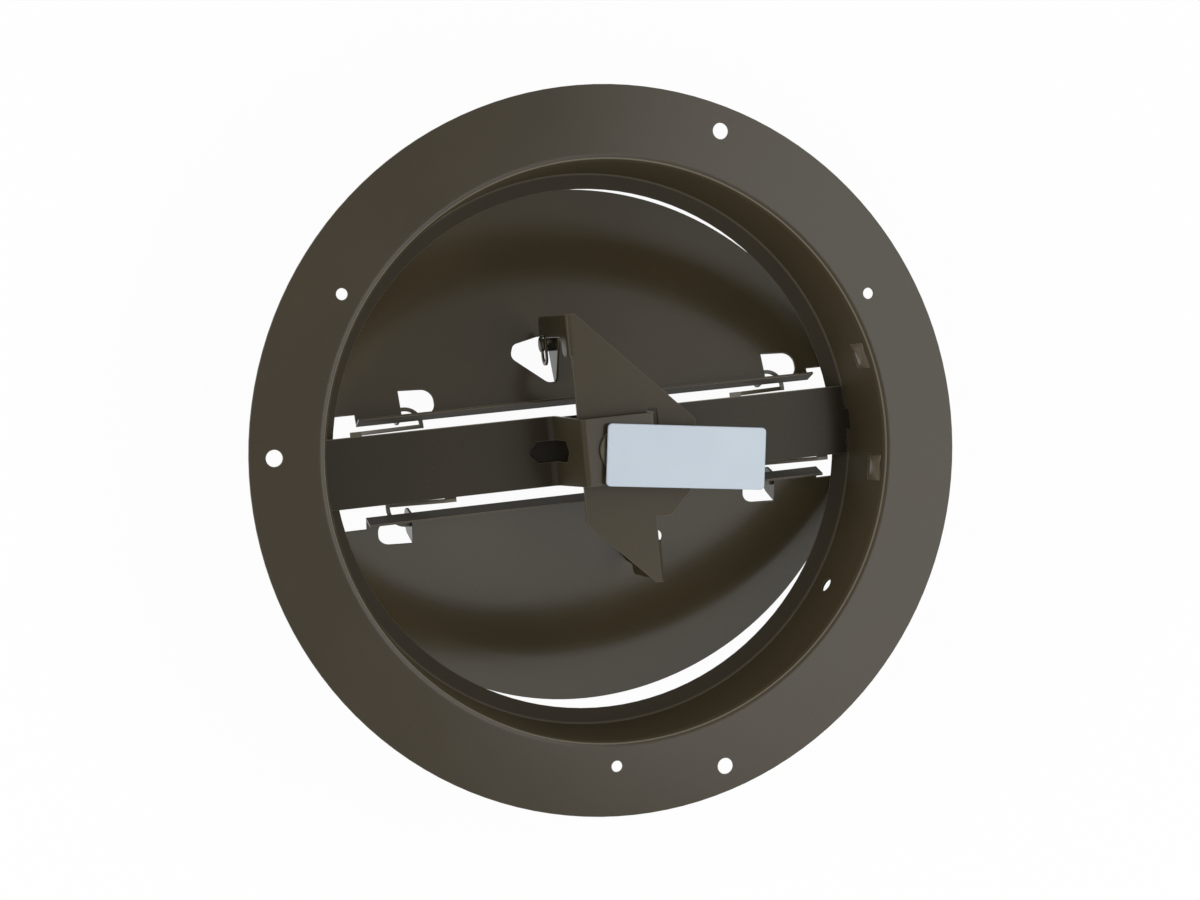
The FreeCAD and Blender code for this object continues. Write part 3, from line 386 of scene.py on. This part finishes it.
def painted_highlight_lines(work):
    """Painted highlights on two fine lines, as shares of the pale edge colour: where the wall meets
    the lip, and at the mouth.
    """
    height = work.part_of(work.position(), "Z")
    seam = 1.0 - abs(height + SEAM_DEPTH).ramp(*SEAM_LINE)
    crest = 1.0 - abs(duct_reach(work) - CREST_REACH).ramp(*CREST_LINE)
    return seam * SEAM_HIGHLIGHT + crest * CREST_HIGHLIGHT


def bronze_body(work, look, cloud, lying, depth):
    """The paint's colour: two slow drifts, with painted light and shade by how a face lies, how
    deep it is and at the bar's end.
    """
    drift = work.noise(scale=7.0)
    body = work.mix(cloud * 0.5 + drift * 0.5, look.dark, look.light)
    # Painted light on upright collar walls and painted shade on blade folds; then painted shade low
    # in the duct.
    upright = (look.coat.upright_shade - 1.0) * (1.0 - lying)
    shade = 1.0 + upright - (1.0 - look.coat.deep_shade) * depth
    # Painted shade on the bar's right end, where it would mirror the dark wall.
    if look.coat.end_shade != 1.0:
        end = work.part_of(work.position(), "X").ramp(*BAR_END_SHADE)
        shade = shade * (1.0 - (1.0 - look.coat.end_shade) * end)
    return work.node("ShaderNodeVectorMath", {"operation": "SCALE"},
                     {0: body, "Scale": look.coat.shade * shade})


def bronze_paint(work, look):
    """Glossy dark bronze paint on sheet steel, duller on upright faces, paler along its edges from
    wear and a painted highlight, with painted light and shade by depth and lie.
    """
    layer = look.coat
    normal = work.rounded_normal(look.edge_width)
    if layer.mouth:
        normal = mouth_normal(work, look, normal)
    lying = work.facing("Z", *LYING)
    # Level faces low in the duct, which get painted shade and less gloss.
    depth = lying * (1.0 - work.part_of(work.position(), "Z").ramp(*DEEP_HEIGHTS))
    cloud = work.noise(scale=28.0, detail=3.0, rough=0.6)
    speck = work.noise(scale=900.0, rough=0.6).ramp(*SPECK_LEVELS)
    edge = work.edge_mask(normal)
    # Painted sheen beyond the bar's edges: paler colour and full gloss.
    rubbed = finger_sheen_mask(work) if layer.rubbed else 0.0
    # Painted highlight lines at the seam and the mouth's crest.
    line_highlights = painted_highlight_lines(work) if layer.mouth else 0.0
    # How far the colour turns pale: wear and painted highlight on edges, specks of wear, the
    # painted sheen and the painted highlight lines.
    pale_wear_and_highlight = edge * EDGE_WEAR_AND_HIGHLIGHT + speck * SPECK_WEAR + rubbed * FINGER_SHEEN + line_highlights
    colour = work.mix(pale_wear_and_highlight.clamped(), bronze_body(work, look, cloud, lying, depth), look.edge)
    relief = work.bump(work.noise(scale=420.0), normal, distance=0.00002, strength=0.35)
    relief = work.bump(work.noise(scale=35.0), relief, distance=0.00015, strength=0.2)
    glossy = work.principled({
        "Base Color": colour,
        "Roughness": 0.15 + cloud * 0.08 + edge * 0.15,
        "Normal": relief,
        "IOR": 1.33,
    })
    dull = work.principled({
        "Base Color": colour,
        "Roughness": 0.6,
        "Normal": relief,
        "Specular IOR Level": 0.2,
    })
    level_gloss = work.facing("Z", *layer.level) * (1.0 - (1.0 - layer.deep_gloss) * depth)
    side_gloss = work.facing(layer.side, *SQUARE) * layer.side_gloss
    gloss = level_gloss * layer.gloss + side_gloss + rubbed
    work.show(work.blend(gloss.clamped(), dull, glossy))


def plated_steel(work, look):
    """Dark chromated steel, drawn round the turned parts, with paler rubbed spots."""
    grain = work.noise(scale=900.0, detail=3.0, rough=0.6, stretch=(1.0, 1.0, 0.2))
    blotch = work.noise(scale=260.0, detail=3.0, rough=0.6)
    normal = work.rounded_normal(look.edge_width)
    work.show(work.principled({
        "Base Color": work.mix(blotch, look.dark, look.light),
        "Metallic": 1.0,
        "Roughness": 0.26 + blotch * 0.2,
        "Normal": work.bump(grain, normal, distance=0.00002, strength=0.5),
    }))


def white_paint(work, look):
    """Smooth cool white paint with a faint ripple, whiter where it rounds an edge, a painted
    highlight.
    """
    normal = work.rounded_normal(look.edge_width)
    cloud = work.noise(scale=45.0)
    body = work.mix(cloud, look.dark, look.light)
    work.show(work.principled({
        "Base Color": work.mix(work.edge_mask(normal) * WHITE_EDGE_HIGHLIGHT, body, look.edge),
        "Roughness": 0.34 + cloud * 0.1,
        "Normal": work.bump(work.noise(scale=380.0), normal, distance=0.00002, strength=0.3),
    }))


def colour_setting(name, description, *screen):
    """A colour property with its default given as a screen colour."""
    return bpy.props.FloatVectorProperty(name=name, description=description, size=3, min=0, max=1,
                                         subtype="COLOR", default=linear(*screen))


def length_setting(name, description, default, low=0.0, high=1.0):
    """A length property in metres."""
    return bpy.props.FloatProperty(name=name, description=description, default=default,
                                   unit="LENGTH", min=low, max=high, precision=5)


def angle_setting(name, description, degrees):
    """An angle property with its default given in degrees."""
    return bpy.props.FloatProperty(name=name, description=description,
                                   default=math.radians(degrees), subtype="ANGLE")


def count_setting(name, description, default, low, high):
    """A whole number."""
    return bpy.props.IntProperty(name=name, description=description, default=default,
                                 min=low, max=high)


def share_setting(name, description, default, high):
    """A strength or a share, from 0 up."""
    return bpy.props.FloatProperty(name=name, description=description, default=default,
                                   min=0, max=high, subtype="FACTOR")


def power_setting(name, description, default):
    """A lamp's power in watts."""
    return bpy.props.FloatProperty(name=name, description=description, default=default,
                                   unit="POWER", min=0, max=500)


class PaintSettings(bpy.types.PropertyGroup):
    """Colours of the damper's finishes."""

    bronze_dark: colour_setting("Bronze, dark", "Darker drift of the bronze paint", 51, 44, 30)
    bronze_light: colour_setting("Bronze, light", "Lighter drift of the bronze paint", 62, 54, 38)
    # Pale edge colour: thinner paint and a painted highlight along sheared edges.
    bronze_edge_wear_and_highlight: colour_setting("Bronze edge", "Thin paint along sheared edges", 150, 141, 122)
    edge_width: length_setting("Edge width", "How far the paint rounds an edge", 0.0004)
    mouth_width: length_setting("Mouth rounding", "How far the collar's mouth looks round", 0.0011)
    white_dark: colour_setting("White, shaded", "Darker drift of the lever's paint", 184, 195, 207)
    white_light: colour_setting("White", "Lighter drift of the lever's paint", 197, 208, 219)
    # The lever's rim colour, a painted highlight.
    white_edge_highlight: colour_setting("White edge", "The lever's rim", 240, 244, 248)
    chromate_dark: colour_setting("Chromate, dark", "Darker spots of the plating", 40, 37, 29)
    chromate_light: colour_setting("Chromate, light", "Rubbed plating", 84, 80, 68)


class PieceSettings(bpy.types.PropertyGroup):
    """Sizes of the pieces that are modelled here."""

    lever_length: length_setting("Lever length", "Along the lever", 0.0563)
    lever_width: length_setting("Lever width", "Across the lever", 0.02125)
    lever_thickness: length_setting("Lever thickness", "Thickness of the plate", 0.0013)
    lever_corner: length_setting("Lever corner", "Radius of the four corners", 0.0015)
    lever_rim: length_setting("Lever rim", "Radius that softens the plate's edges", 0.0003)
    lever_swing: angle_setting("Lever turn", "The lever's direction at rest", -2.5)
    shaft_radius: length_setting("Shaft radius", "Outside of the screw's thread", 0.004)
    thread_depth: length_setting("Thread depth", "Depth of the coarse thread", 0.0007)
    thread_lead: length_setting("Thread lead", "Rise of the thread in one turn", 0.006, 0.001)
    thread_starts: count_setting("Thread starts", "Grooves side by side", 2, 1, 8)
    wave_rise: length_setting("Spring wave", "Half the height of the spring's waves", 0.00008)
    wave_count: count_setting("Spring waves", "Waves to the round", 4, 2, 12)
    pin_radius: length_setting("Pin radius", "Shank of a link pin", 0.0015)
    pin_head_radius: length_setting("Pin head", "Radius of a link pin's head", 0.0028)
    pin_tail_radius: length_setting("Pin tail", "Radius of a link pin's riveted end", 0.0022)
    rivet_radius: length_setting("Rivet radius", "Shank of a nut rivet", 0.001)
    rivet_head_radius: length_setting("Rivet head", "Radius of a nut rivet's head", 0.0017)
    tab_rise: length_setting("Tab rise", "How far the lanced tabs belly into the collar", 0.0009)


class StageSettings(bpy.types.PropertyGroup):
    """Camera, floor and light."""

    distance: length_setting("Camera distance", "From the frame's origin, along the line of sight",
                             0.88394, 0.1, 5.0)
    side_turn: angle_setting("Camera to the left", "Turn about the picture's upright axis", 16.1923)
    lift_turn: angle_setting("Camera upwards", "Turn about the picture's level axis", 1.7147)
    roll: angle_setting("Camera roll", "Turn of the picture against the damper's frame", -1.05)
    pan_across: length_setting("Pan across", "The origin's place in the picture, from its middle",
                               0.0048854, -1.0)
    pan_up: length_setting("Pan up", "The origin's place in the picture, from its middle",
                           -0.000651, -1.0)
    focal: bpy.props.FloatProperty(
        name="Focal length", description="Lens on a 36 mm wide sensor", default=77.743,
        unit="CAMERA", min=10, max=300)
    floor_size: length_setting("Floor size", "Side of the floor", 8.0, 1.0, 50.0)
    floor_white: share_setting("Floor white", "How much of the floor's look is plain white",
                               0.96, 1)
    sky: share_setting("Sky", "Strength of the even light from all round", 0.35, 5)
    right_lamp: power_setting("Right softbox", "Power of the lamp at the right", 7.2)
    near_lamp: power_setting("Lower softbox", "Power of the lamp below the picture", 5.0)
    far_lamp: power_setting("Upper softbox", "Power of the lamp above the picture", 2.0)
    left_lamp: power_setting("Left softbox", "Power of the low lamp at the left", 7.5)


def build_finish(name, recipe, **values):
    """Makes a material from its recipe and its named values."""
    material = bpy.data.materials.new(name)
    material.use_nodes = True
    recipe(NodeWork(material.node_tree), SimpleNamespace(**values))


def finishes(context):
    """The finishes, made once and then looked up by name."""
    paint = context.scene.damper_paint
    if "Plated steel" not in bpy.data.materials:
        for name, layer in BRONZE_COATS.items():
            build_finish(name, bronze_paint, coat=layer, dark=tuple(paint.bronze_dark),
                         light=tuple(paint.bronze_light), edge=tuple(paint.bronze_edge_wear_and_highlight),
                         edge_width=paint.edge_width, mouth_width=paint.mouth_width)
        build_finish("Plated steel", plated_steel, dark=tuple(paint.chromate_dark),
                     light=tuple(paint.chromate_light), edge_width=paint.edge_width)
        build_finish("White paint", white_paint, dark=tuple(paint.white_dark),
                     light=tuple(paint.white_light), edge=tuple(paint.white_edge_highlight),
                     edge_width=paint.edge_width)
    return bpy.data.materials


def dress(node, material):
    """Gives a node of the frame one material."""
    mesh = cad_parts[node].data
    mesh.materials.clear()
    mesh.materials.append(material)


def blade_seat(half_turn):
    """Where a blade's hinge frame stands at rest: X along the hinge, tilted by the opening."""
    middle = ASSEMBLY @ turn_about("Z", half_turn)
    return middle @ shift(0.0, HINGE_REACH, -HINGE_DEPTH) @ turn_about("X", -REST_OPENING)


def skin(name, sheets, seat, material):
    """One piece from sheets of points, set in the frame by the seat.

    Each sheet is a grid of rows by columns whose last column joins the first. Its first and
    last row are closed with a flat face, or joined to each other where the sheet is a ring.
    """
    points, faces, first = [], [], 0
    for grid, is_ring in sheets:
        rows, columns = grid.shape[:2]
        number = first + np.arange(rows * columns).reshape(rows, columns)
        after = np.roll(number, -1, axis=1)
        if is_ring:
            corners = (number, after, np.roll(after, -1, axis=0), np.roll(number, -1, axis=0))
        else:
            corners = (number[:-1], after[:-1], after[1:], number[1:])
        faces += np.stack(corners, axis=-1).reshape(-1, 4).tolist()
        if not is_ring:
            faces += [number[0, ::-1].tolist(), number[-1].tolist()]
        points.append(grid.reshape(-1, 3))
        first += rows * columns
    turn = np.array(seat.to_3x3())
    place = np.array(seat.translation)
    mesh = bpy.data.meshes.new(name)
    mesh.from_pydata((np.concatenate(points) @ turn.T + place).tolist(), [], faces)
    mesh.shade_smooth()
    mesh.set_sharp_from_angle(angle=SHARP_ANGLE)
    mesh.materials.append(material)
    piece = bpy.data.objects.new(name, mesh)
    bpy.context.scene.collection.objects.link(piece)
    return piece


def add(piece, body, slot, *nodes):
    """Hangs a new piece on its body, in the place of the nodes that it stands for."""
    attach(piece, body)
    if nodes:
        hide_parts(*nodes)


def round_angles(count):
    """Evenly spread angles of a full turn, as one row."""
    return np.linspace(0, 2 * np.pi, count, endpoint=False)[None, :]


def turned(profile, count=AROUND):
    """A profile of radius and height, carried round the Z axis: (r cos a, r sin a, h)."""
    radius, height = np.array(profile, dtype=float).T[:, :, None]
    angle = round_angles(count)
    return np.stack((radius * np.cos(angle), radius * np.sin(angle),
                     height + 0 * angle), axis=-1)


def dome(radius, rise, base, count=7):
    """Profile of a low dome: the radius falls as a cosine while the height grows as a sine.

    It ends short of the top, where a small flat face closes it.
    """
    angle = np.linspace(0, DOME_SHARE * np.pi / 2, count)
    return list(zip(radius * np.cos(angle), base + rise * np.sin(angle)))


def hollow_dome(radius, rise, base):
    """The same dome upside down, from its lowest point up to its rim."""
    return [(reach, 2 * base - height) for reach, height in dome(radius, rise, base)][::-1]


def lever_plate(length, width, thickness, corner, rim):
    """A plate whose outline is a rectangle with rounded corners.

    The outline is four quarter circles joined by straight sides. It is carried up a profile
    that rounds both rims: the inset is rim times one minus the sine of the profile's turn.
    """
    quarter = np.linspace(0, np.pi / 2, 9)
    turns = np.concatenate([quarter + side * np.pi / 2 for side in range(4)])
    signs = np.repeat(np.array([(1, 1), (-1, 1), (-1, -1), (1, -1)]), len(quarter), axis=0)
    middle = signs * (np.array((length, width)) / 2 - corner)
    out = np.column_stack((np.cos(turns), np.sin(turns)))
    sweep = np.linspace(0, np.pi / 2, 6)
    rise = rim * (1 - np.cos(sweep))
    inset = rim * (1 - np.sin(sweep))
    innermost = [1.3 * rim]
    insets = np.concatenate((innermost, inset, inset[::-1], innermost))
    heights = np.concatenate(([0], rise, thickness - rise[::-1], [thickness]))
    flat = middle[None] + out[None] * (corner - insets[:, None, None])
    level = np.broadcast_to(heights[:, None, None], flat.shape[:2] + (1,))
    return np.concatenate((flat, level), axis=-1)


def screw_surface(radius, depth, lead, starts, shoulder):
    """Shaft with a coarse thread of several starts, and its shoulder under the lever.

    The radius at a height and an angle is the shaft's radius less the depth times a rounded
    wave of starts * (height / lead - angle / full turn), and the wave dies out towards the
    thread's ends.
    """
    chamfer = 0.0005
    run_out = 0.0015
    steepness = 0.9
    heights = np.concatenate(([SCREW_LOW, SCREW_LOW + chamfer],
                              np.linspace(SCREW_LOW + 1.2 * chamfer, SHOULDER_LOW, THREAD_ROWS),
                              [SHOULDER_LOW, LEVER_BASE]))
    base = np.full(len(heights), radius)
    base[0] -= chamfer
    base[-2:] = shoulder
    angle = round_angles(AROUND)
    wave = np.cos(2 * np.pi * starts * (heights[:, None] / lead - angle / (2 * np.pi)))
    groove = np.clip(0.5 - steepness * wave, 0, 1)
    fade = np.clip((heights - SCREW_LOW - 5 * chamfer) / run_out, 0, 1)
    fade = fade * np.clip((THREAD_HIGH - heights) / run_out, 0, 1)
    reach = base[:, None] - depth * groove * fade[:, None]
    return np.stack((reach * np.cos(angle), reach * np.sin(angle),
                     heights[:, None] + 0 * angle), axis=-1)


def wave_ring(wave, waves):
    """Flat ring whose height follows a cosine, so many waves to the round."""
    inner, outer = SPRING_RADII
    half = SPRING_SHEET / 2
    grid = turned([(inner, -half), (outer, -half), (outer, half), (inner, half)],
                  SPRING_AROUND)
    angle = np.arctan2(grid[..., 1], grid[..., 0])
    grid[..., 2] += SPRING_MIDDLE + wave * np.cos(waves * angle)
    return grid


def link_pin(radius, head_radius, tail_radius, head_face):
    """Domed pin along X: head, shank and riveted tail, turned and then laid over."""
    head = hollow_dome(head_radius, HEAD_DOME, -head_face - HEAD_DOME)
    shank = [(head_radius, -head_face), (radius, -head_face), (radius, -PIN_TAIL_FACE),
             (tail_radius, -PIN_TAIL_FACE)]
    tail = dome(tail_radius, PIN_TAIL_DOME, -PIN_TAIL_FACE + PIN_TAIL_DOME)
    around_x = turned(head + shank + tail)[..., [2, 0, 1]]
    place = (0, LINK_RADIUS * math.cos(LINK_RISE), LINK_RADIUS * math.sin(LINK_RISE))
    return around_x + np.array(place)


def nut_rivet(radius, head_radius, angle):
    """Rivet with a domed head below and a chamfered tip, turned and set at its angle."""
    kept = 1 - RIVET_CHAMFER
    profile = hollow_dome(head_radius, HEAD_DOME, -RIVET_FACE) + [
        (radius, -RIVET_FACE), (radius, kept * RIVET_FACE), (kept * radius, RIVET_FACE)]
    place = RIVET_REACH * np.array((math.cos(angle), math.sin(angle), 0))
    return turned(profile, RIVET_AROUND) + place


def lanced_tab(angle, rise):
    """A lanced tab that bellies into the collar and laps over its open end.

    Across the tab the belly is one minus the square of the way from the middle to the edge,
    and along the tab one minus the fourth power.
    """
    height = np.linspace(-1, 1, 15)[:, None]
    along = np.linspace(-1, 1, 13)[None, :]
    start, end = TAB_ENDS
    reach = (start + end) / 2 + (end - start) / 2 * along
    half_width = np.where(reach > TAB_FREE_END, TAB_MOUTH_HALF_WIDTH, TAB_HALF_WIDTH)
    depth = -TAB_DEPTH + half_width * height
    wall = WALL_TOP_RADIUS + WALL_TAPER * depth
    belly = rise * (1 - height ** 2) * (1 - along ** 4)
    front = (wall - TAB_FRONT_GAP - belly)[:, ::-1]
    radius = np.concatenate((wall + TAB_BACK_GAP, front), axis=1)
    level = np.concatenate((depth, depth[:, ::-1]), axis=1)
    tangent = np.concatenate((reach, reach[:, ::-1]), axis=1) + 0 * height
    turn = math.radians(angle) + tangent / WALL_TOP_RADIUS
    return np.stack((radius * np.cos(turn), radius * np.sin(turn), level), axis=-1)


class DAMPER_OT_sheet_metal(bpy.types.Operator):
    """Paint the pressed sheet-metal pieces in dark bronze"""

    bl_idname = "damper.sheet_metal"
    bl_label = "Paint sheet metal"

    def execute(self, context):
        materials = finishes(context)
        for name, layer in BRONZE_COATS.items():
            for node in layer.nodes:
                dress(node, materials[name])
        return {"FINISHED"}


class DAMPER_OT_fittings(bpy.types.Operator):
    """Plate the nut, washers, spacers and rings"""

    bl_idname = "damper.fittings"
    bl_label = "Plate the fittings"

    def execute(self, context):
        material = finishes(context)["Plated steel"]
        for node in FITTING_NODES:
            dress(node, material)
        return {"FINISHED"}


class DAMPER_OT_tabs(bpy.types.Operator):
    """Make the bellied tabs in the collar's wall"""

    bl_idname = "damper.tabs"
    bl_label = "Make the lanced tabs"

    def execute(self, context):
        sizes = context.scene.damper_pieces
        sheets = [(lanced_tab(angle, sizes.tab_rise), False) for angle in TAB_ANGLES]
        material = finishes(context)["Bronze paint, tabs"]
        add(skin("lanced_tabs", sheets, Matrix.Identity(4), material), "frame", "dark_paint")
        return {"FINISHED"}


class DAMPER_OT_lever(bpy.types.Operator):
    """Make the white lever with its rounded rims"""

    bl_idname = "damper.lever"
    bl_label = "Make the lever"

    def execute(self, context):
        sizes = context.scene.damper_pieces
        plate = lever_plate(sizes.lever_length, sizes.lever_width, sizes.lever_thickness,
                            sizes.lever_corner, sizes.lever_rim)
        middle = Matrix.Translation(PIVOT.translation) @ Matrix.Rotation(sizes.lever_swing, 4, "Z")
        seat = middle @ shift(sizes.lever_length / 2 - LEVER_OVERHANG, -LEVER_DROP, LEVER_BASE)
        piece = skin("lever_plate", [(plate, False)], seat, finishes(context)["White paint"])
        add(piece, "lever", "lever_paint", "lever")
        return {"FINISHED"}


class DAMPER_OT_screw(bpy.types.Operator):
    """Make the coarse screw and the wave spring on it"""

    bl_idname = "damper.screw"
    bl_label = "Make the screw"

    def execute(self, context):
        sizes = context.scene.damper_pieces
        material = finishes(context)["Plated steel"]
        thread = screw_surface(sizes.shaft_radius, sizes.thread_depth, sizes.thread_lead,
                               sizes.thread_starts, SHOULDER_RADIUS)
        add(skin("coarse_screw", [(thread, False)], PIVOT, material),
            "lever", "fittings", "lever_screw")
        spring = wave_ring(sizes.wave_rise, sizes.wave_count)
        add(skin("wave_spring", [(spring, True)], PIVOT, material),
            "lever", "fittings", "wave_washer")
        return {"FINISHED"}


class DAMPER_OT_rivets(bpy.types.Operator):
    """Make the domed link pins and the nut's rivets"""

    bl_idname = "damper.rivets"
    bl_label = "Make pins and rivets"

    def execute(self, context):
        sizes = context.scene.damper_pieces
        material = finishes(context)["Plated steel"]
        for word, half_turn in (("upper", 0), ("lower", 180)):
            stud = link_pin(sizes.pin_radius, sizes.pin_head_radius, sizes.pin_tail_radius,
                            PIN_HEAD_FACES[word])
            pin = skin(word + "_link_stud", [(stud, False)], blade_seat(half_turn), material)
            add(pin, word + "_blade", "fittings", word + "_link_pin")
        rivets = [(nut_rivet(sizes.rivet_radius, sizes.rivet_head_radius, angle), False)
                  for angle in map(math.radians, RIVET_ANGLES)]
        add(skin("domed_rivets", rivets, PIVOT, material), "yoke", "fittings", "nut_rivets")
        return {"FINISHED"}


def floor_material(white):
    """Matt white floor, shown as plain white but for a share that keeps the shadow."""
    material = bpy.data.materials.new("Floor")
    material.use_nodes = True
    work = NodeWork(material.node_tree)
    matt = work.node("ShaderNodeBsdfDiffuse", inputs={"Color": MATT_FLOOR})
    plain = work.node("ShaderNodeEmission", inputs={"Color": WHITE, "Strength": 1.0})
    work.show(work.blend(work.unlit_share() * white, matt, plain))
    return material


def plane(name, side, height, material):
    """A level square, as a grid of two parameters from -1 to 1 times half its side."""
    steps = np.array((-1.0, 1.0)) * side / 2
    across, along = np.meshgrid(steps, steps)
    points = np.column_stack((across.ravel(), along.ravel(), np.full(4, height)))
    mesh = bpy.data.meshes.new(name)
    mesh.from_pydata(points.tolist(), [], [(0, 1, 3, 2)])
    mesh.materials.append(material)
    thing = bpy.data.objects.new(name, mesh)
    bpy.context.scene.collection.objects.link(thing)
    return thing


def sky_world(strength):
    """Even soft light in front of a plain white background."""
    world = bpy.data.worlds.new("Sky")
    bpy.context.scene.world = world
    world.use_nodes = True
    work = NodeWork(world.node_tree)
    soft = work.node("ShaderNodeBackground", inputs={"Color": SKY_COLOUR, "Strength": strength})
    plain = work.node("ShaderNodeBackground", inputs={"Color": WHITE, "Strength": 1.0})
    work.show(work.blend(work.unlit_share(), soft, plain), "ShaderNodeOutputWorld")


def area_lamp(name, power, place, side, colour, roll):
    """A square soft lamp that points at the origin."""
    data = bpy.data.lights.new(name, "AREA")
    data.size = side
    data.energy = power
    data.color = colour
    lamp = bpy.data.objects.new(name, data)
    bpy.context.scene.collection.objects.link(lamp)
    aim = (-Vector(place)).to_track_quat("-Z", "Y").to_matrix().to_4x4()
    lamp.matrix_world = Matrix.Translation(place) @ aim @ turn_about("Z", roll)


def set_camera(scene, stage):
    """Places the camera on its line of sight, and pans it across the picture's plane."""
    view = (Matrix.Rotation(stage.roll, 3, "Z") @ Matrix.Rotation(-stage.lift_turn, 3, "X")
            @ Matrix.Rotation(-stage.side_turn, 3, "Y"))
    data = bpy.data.cameras.new("camera")
    data.lens = stage.focal
    data.sensor_width = SENSOR_WIDTH
    data.clip_start = NEAREST_SEEN
    camera = bpy.data.objects.new("camera", data)
    scene.collection.objects.link(camera)
    place = view @ Vector((-stage.pan_across, -stage.pan_up, stage.distance))
    camera.matrix_world = Matrix.Translation(place) @ view.to_4x4()
    scene.camera = camera


class DAMPER_OT_stage(bpy.types.Operator):
    """Add the camera, the pale floor and the soft light"""

    bl_idname = "damper.stage"
    bl_label = "Set the stage"

    def execute(self, context):
        stage = context.scene.damper_stage
        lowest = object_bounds()[0]
        floor = plane("floor", stage.floor_size, lowest.z - FLOOR_GAP,
                      floor_material(stage.floor_white))
        floor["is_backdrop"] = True
        sky_world(stage.sky)
        for name, setting, *rest in LAMPS:
            area_lamp(name, getattr(stage, setting), *rest)
        set_camera(context.scene, stage)
        context.scene.view_settings.view_transform = "Standard"
        return {"FINISHED"}


PIECE_OPERATORS = (
    DAMPER_OT_sheet_metal,
    DAMPER_OT_fittings,
    DAMPER_OT_tabs,
    DAMPER_OT_lever,
    DAMPER_OT_screw,
    DAMPER_OT_rivets,
    DAMPER_OT_stage,
)


class DAMPER_PT_panel(bpy.types.Panel):
    """Settings and steps of the damper"""

    bl_idname = "DAMPER_PT_panel"
    bl_label = "Damper"
    bl_space_type = "VIEW_3D"
    bl_region_type = "UI"
    bl_category = "Damper"

    def draw(self, context):
        scene = context.scene
        for group in (scene.damper_paint, scene.damper_pieces, scene.damper_stage):
            box = self.layout.box()
            for name in group.__annotations__:
                box.prop(group, name)
        for operator in PIECE_OPERATORS:
            self.layout.operator(operator.bl_idname)


CLASSES = (PaintSettings, PieceSettings, StageSettings, *PIECE_OPERATORS, DAMPER_PT_panel)


def register():
    for kind in CLASSES:
        bpy.utils.register_class(kind)
    bpy.types.Scene.damper_paint = bpy.props.PointerProperty(type=PaintSettings)
    bpy.types.Scene.damper_pieces = bpy.props.PointerProperty(type=PieceSettings)
    bpy.types.Scene.damper_stage = bpy.props.PointerProperty(type=StageSettings)


def unregister():
    del bpy.types.Scene.damper_stage
    del bpy.types.Scene.damper_pieces
    del bpy.types.Scene.damper_paint
    for kind in reversed(CLASSES):
        bpy.utils.unregister_class(kind)


def main():
    register()
    bpy.ops.damper.sheet_metal()
    bpy.ops.damper.fittings()
    bpy.ops.damper.tabs()
    bpy.ops.damper.lever()
    bpy.ops.damper.screw()
    bpy.ops.damper.rivets()
    bpy.ops.damper.stage()


if __name__ == "__main__":
    main()
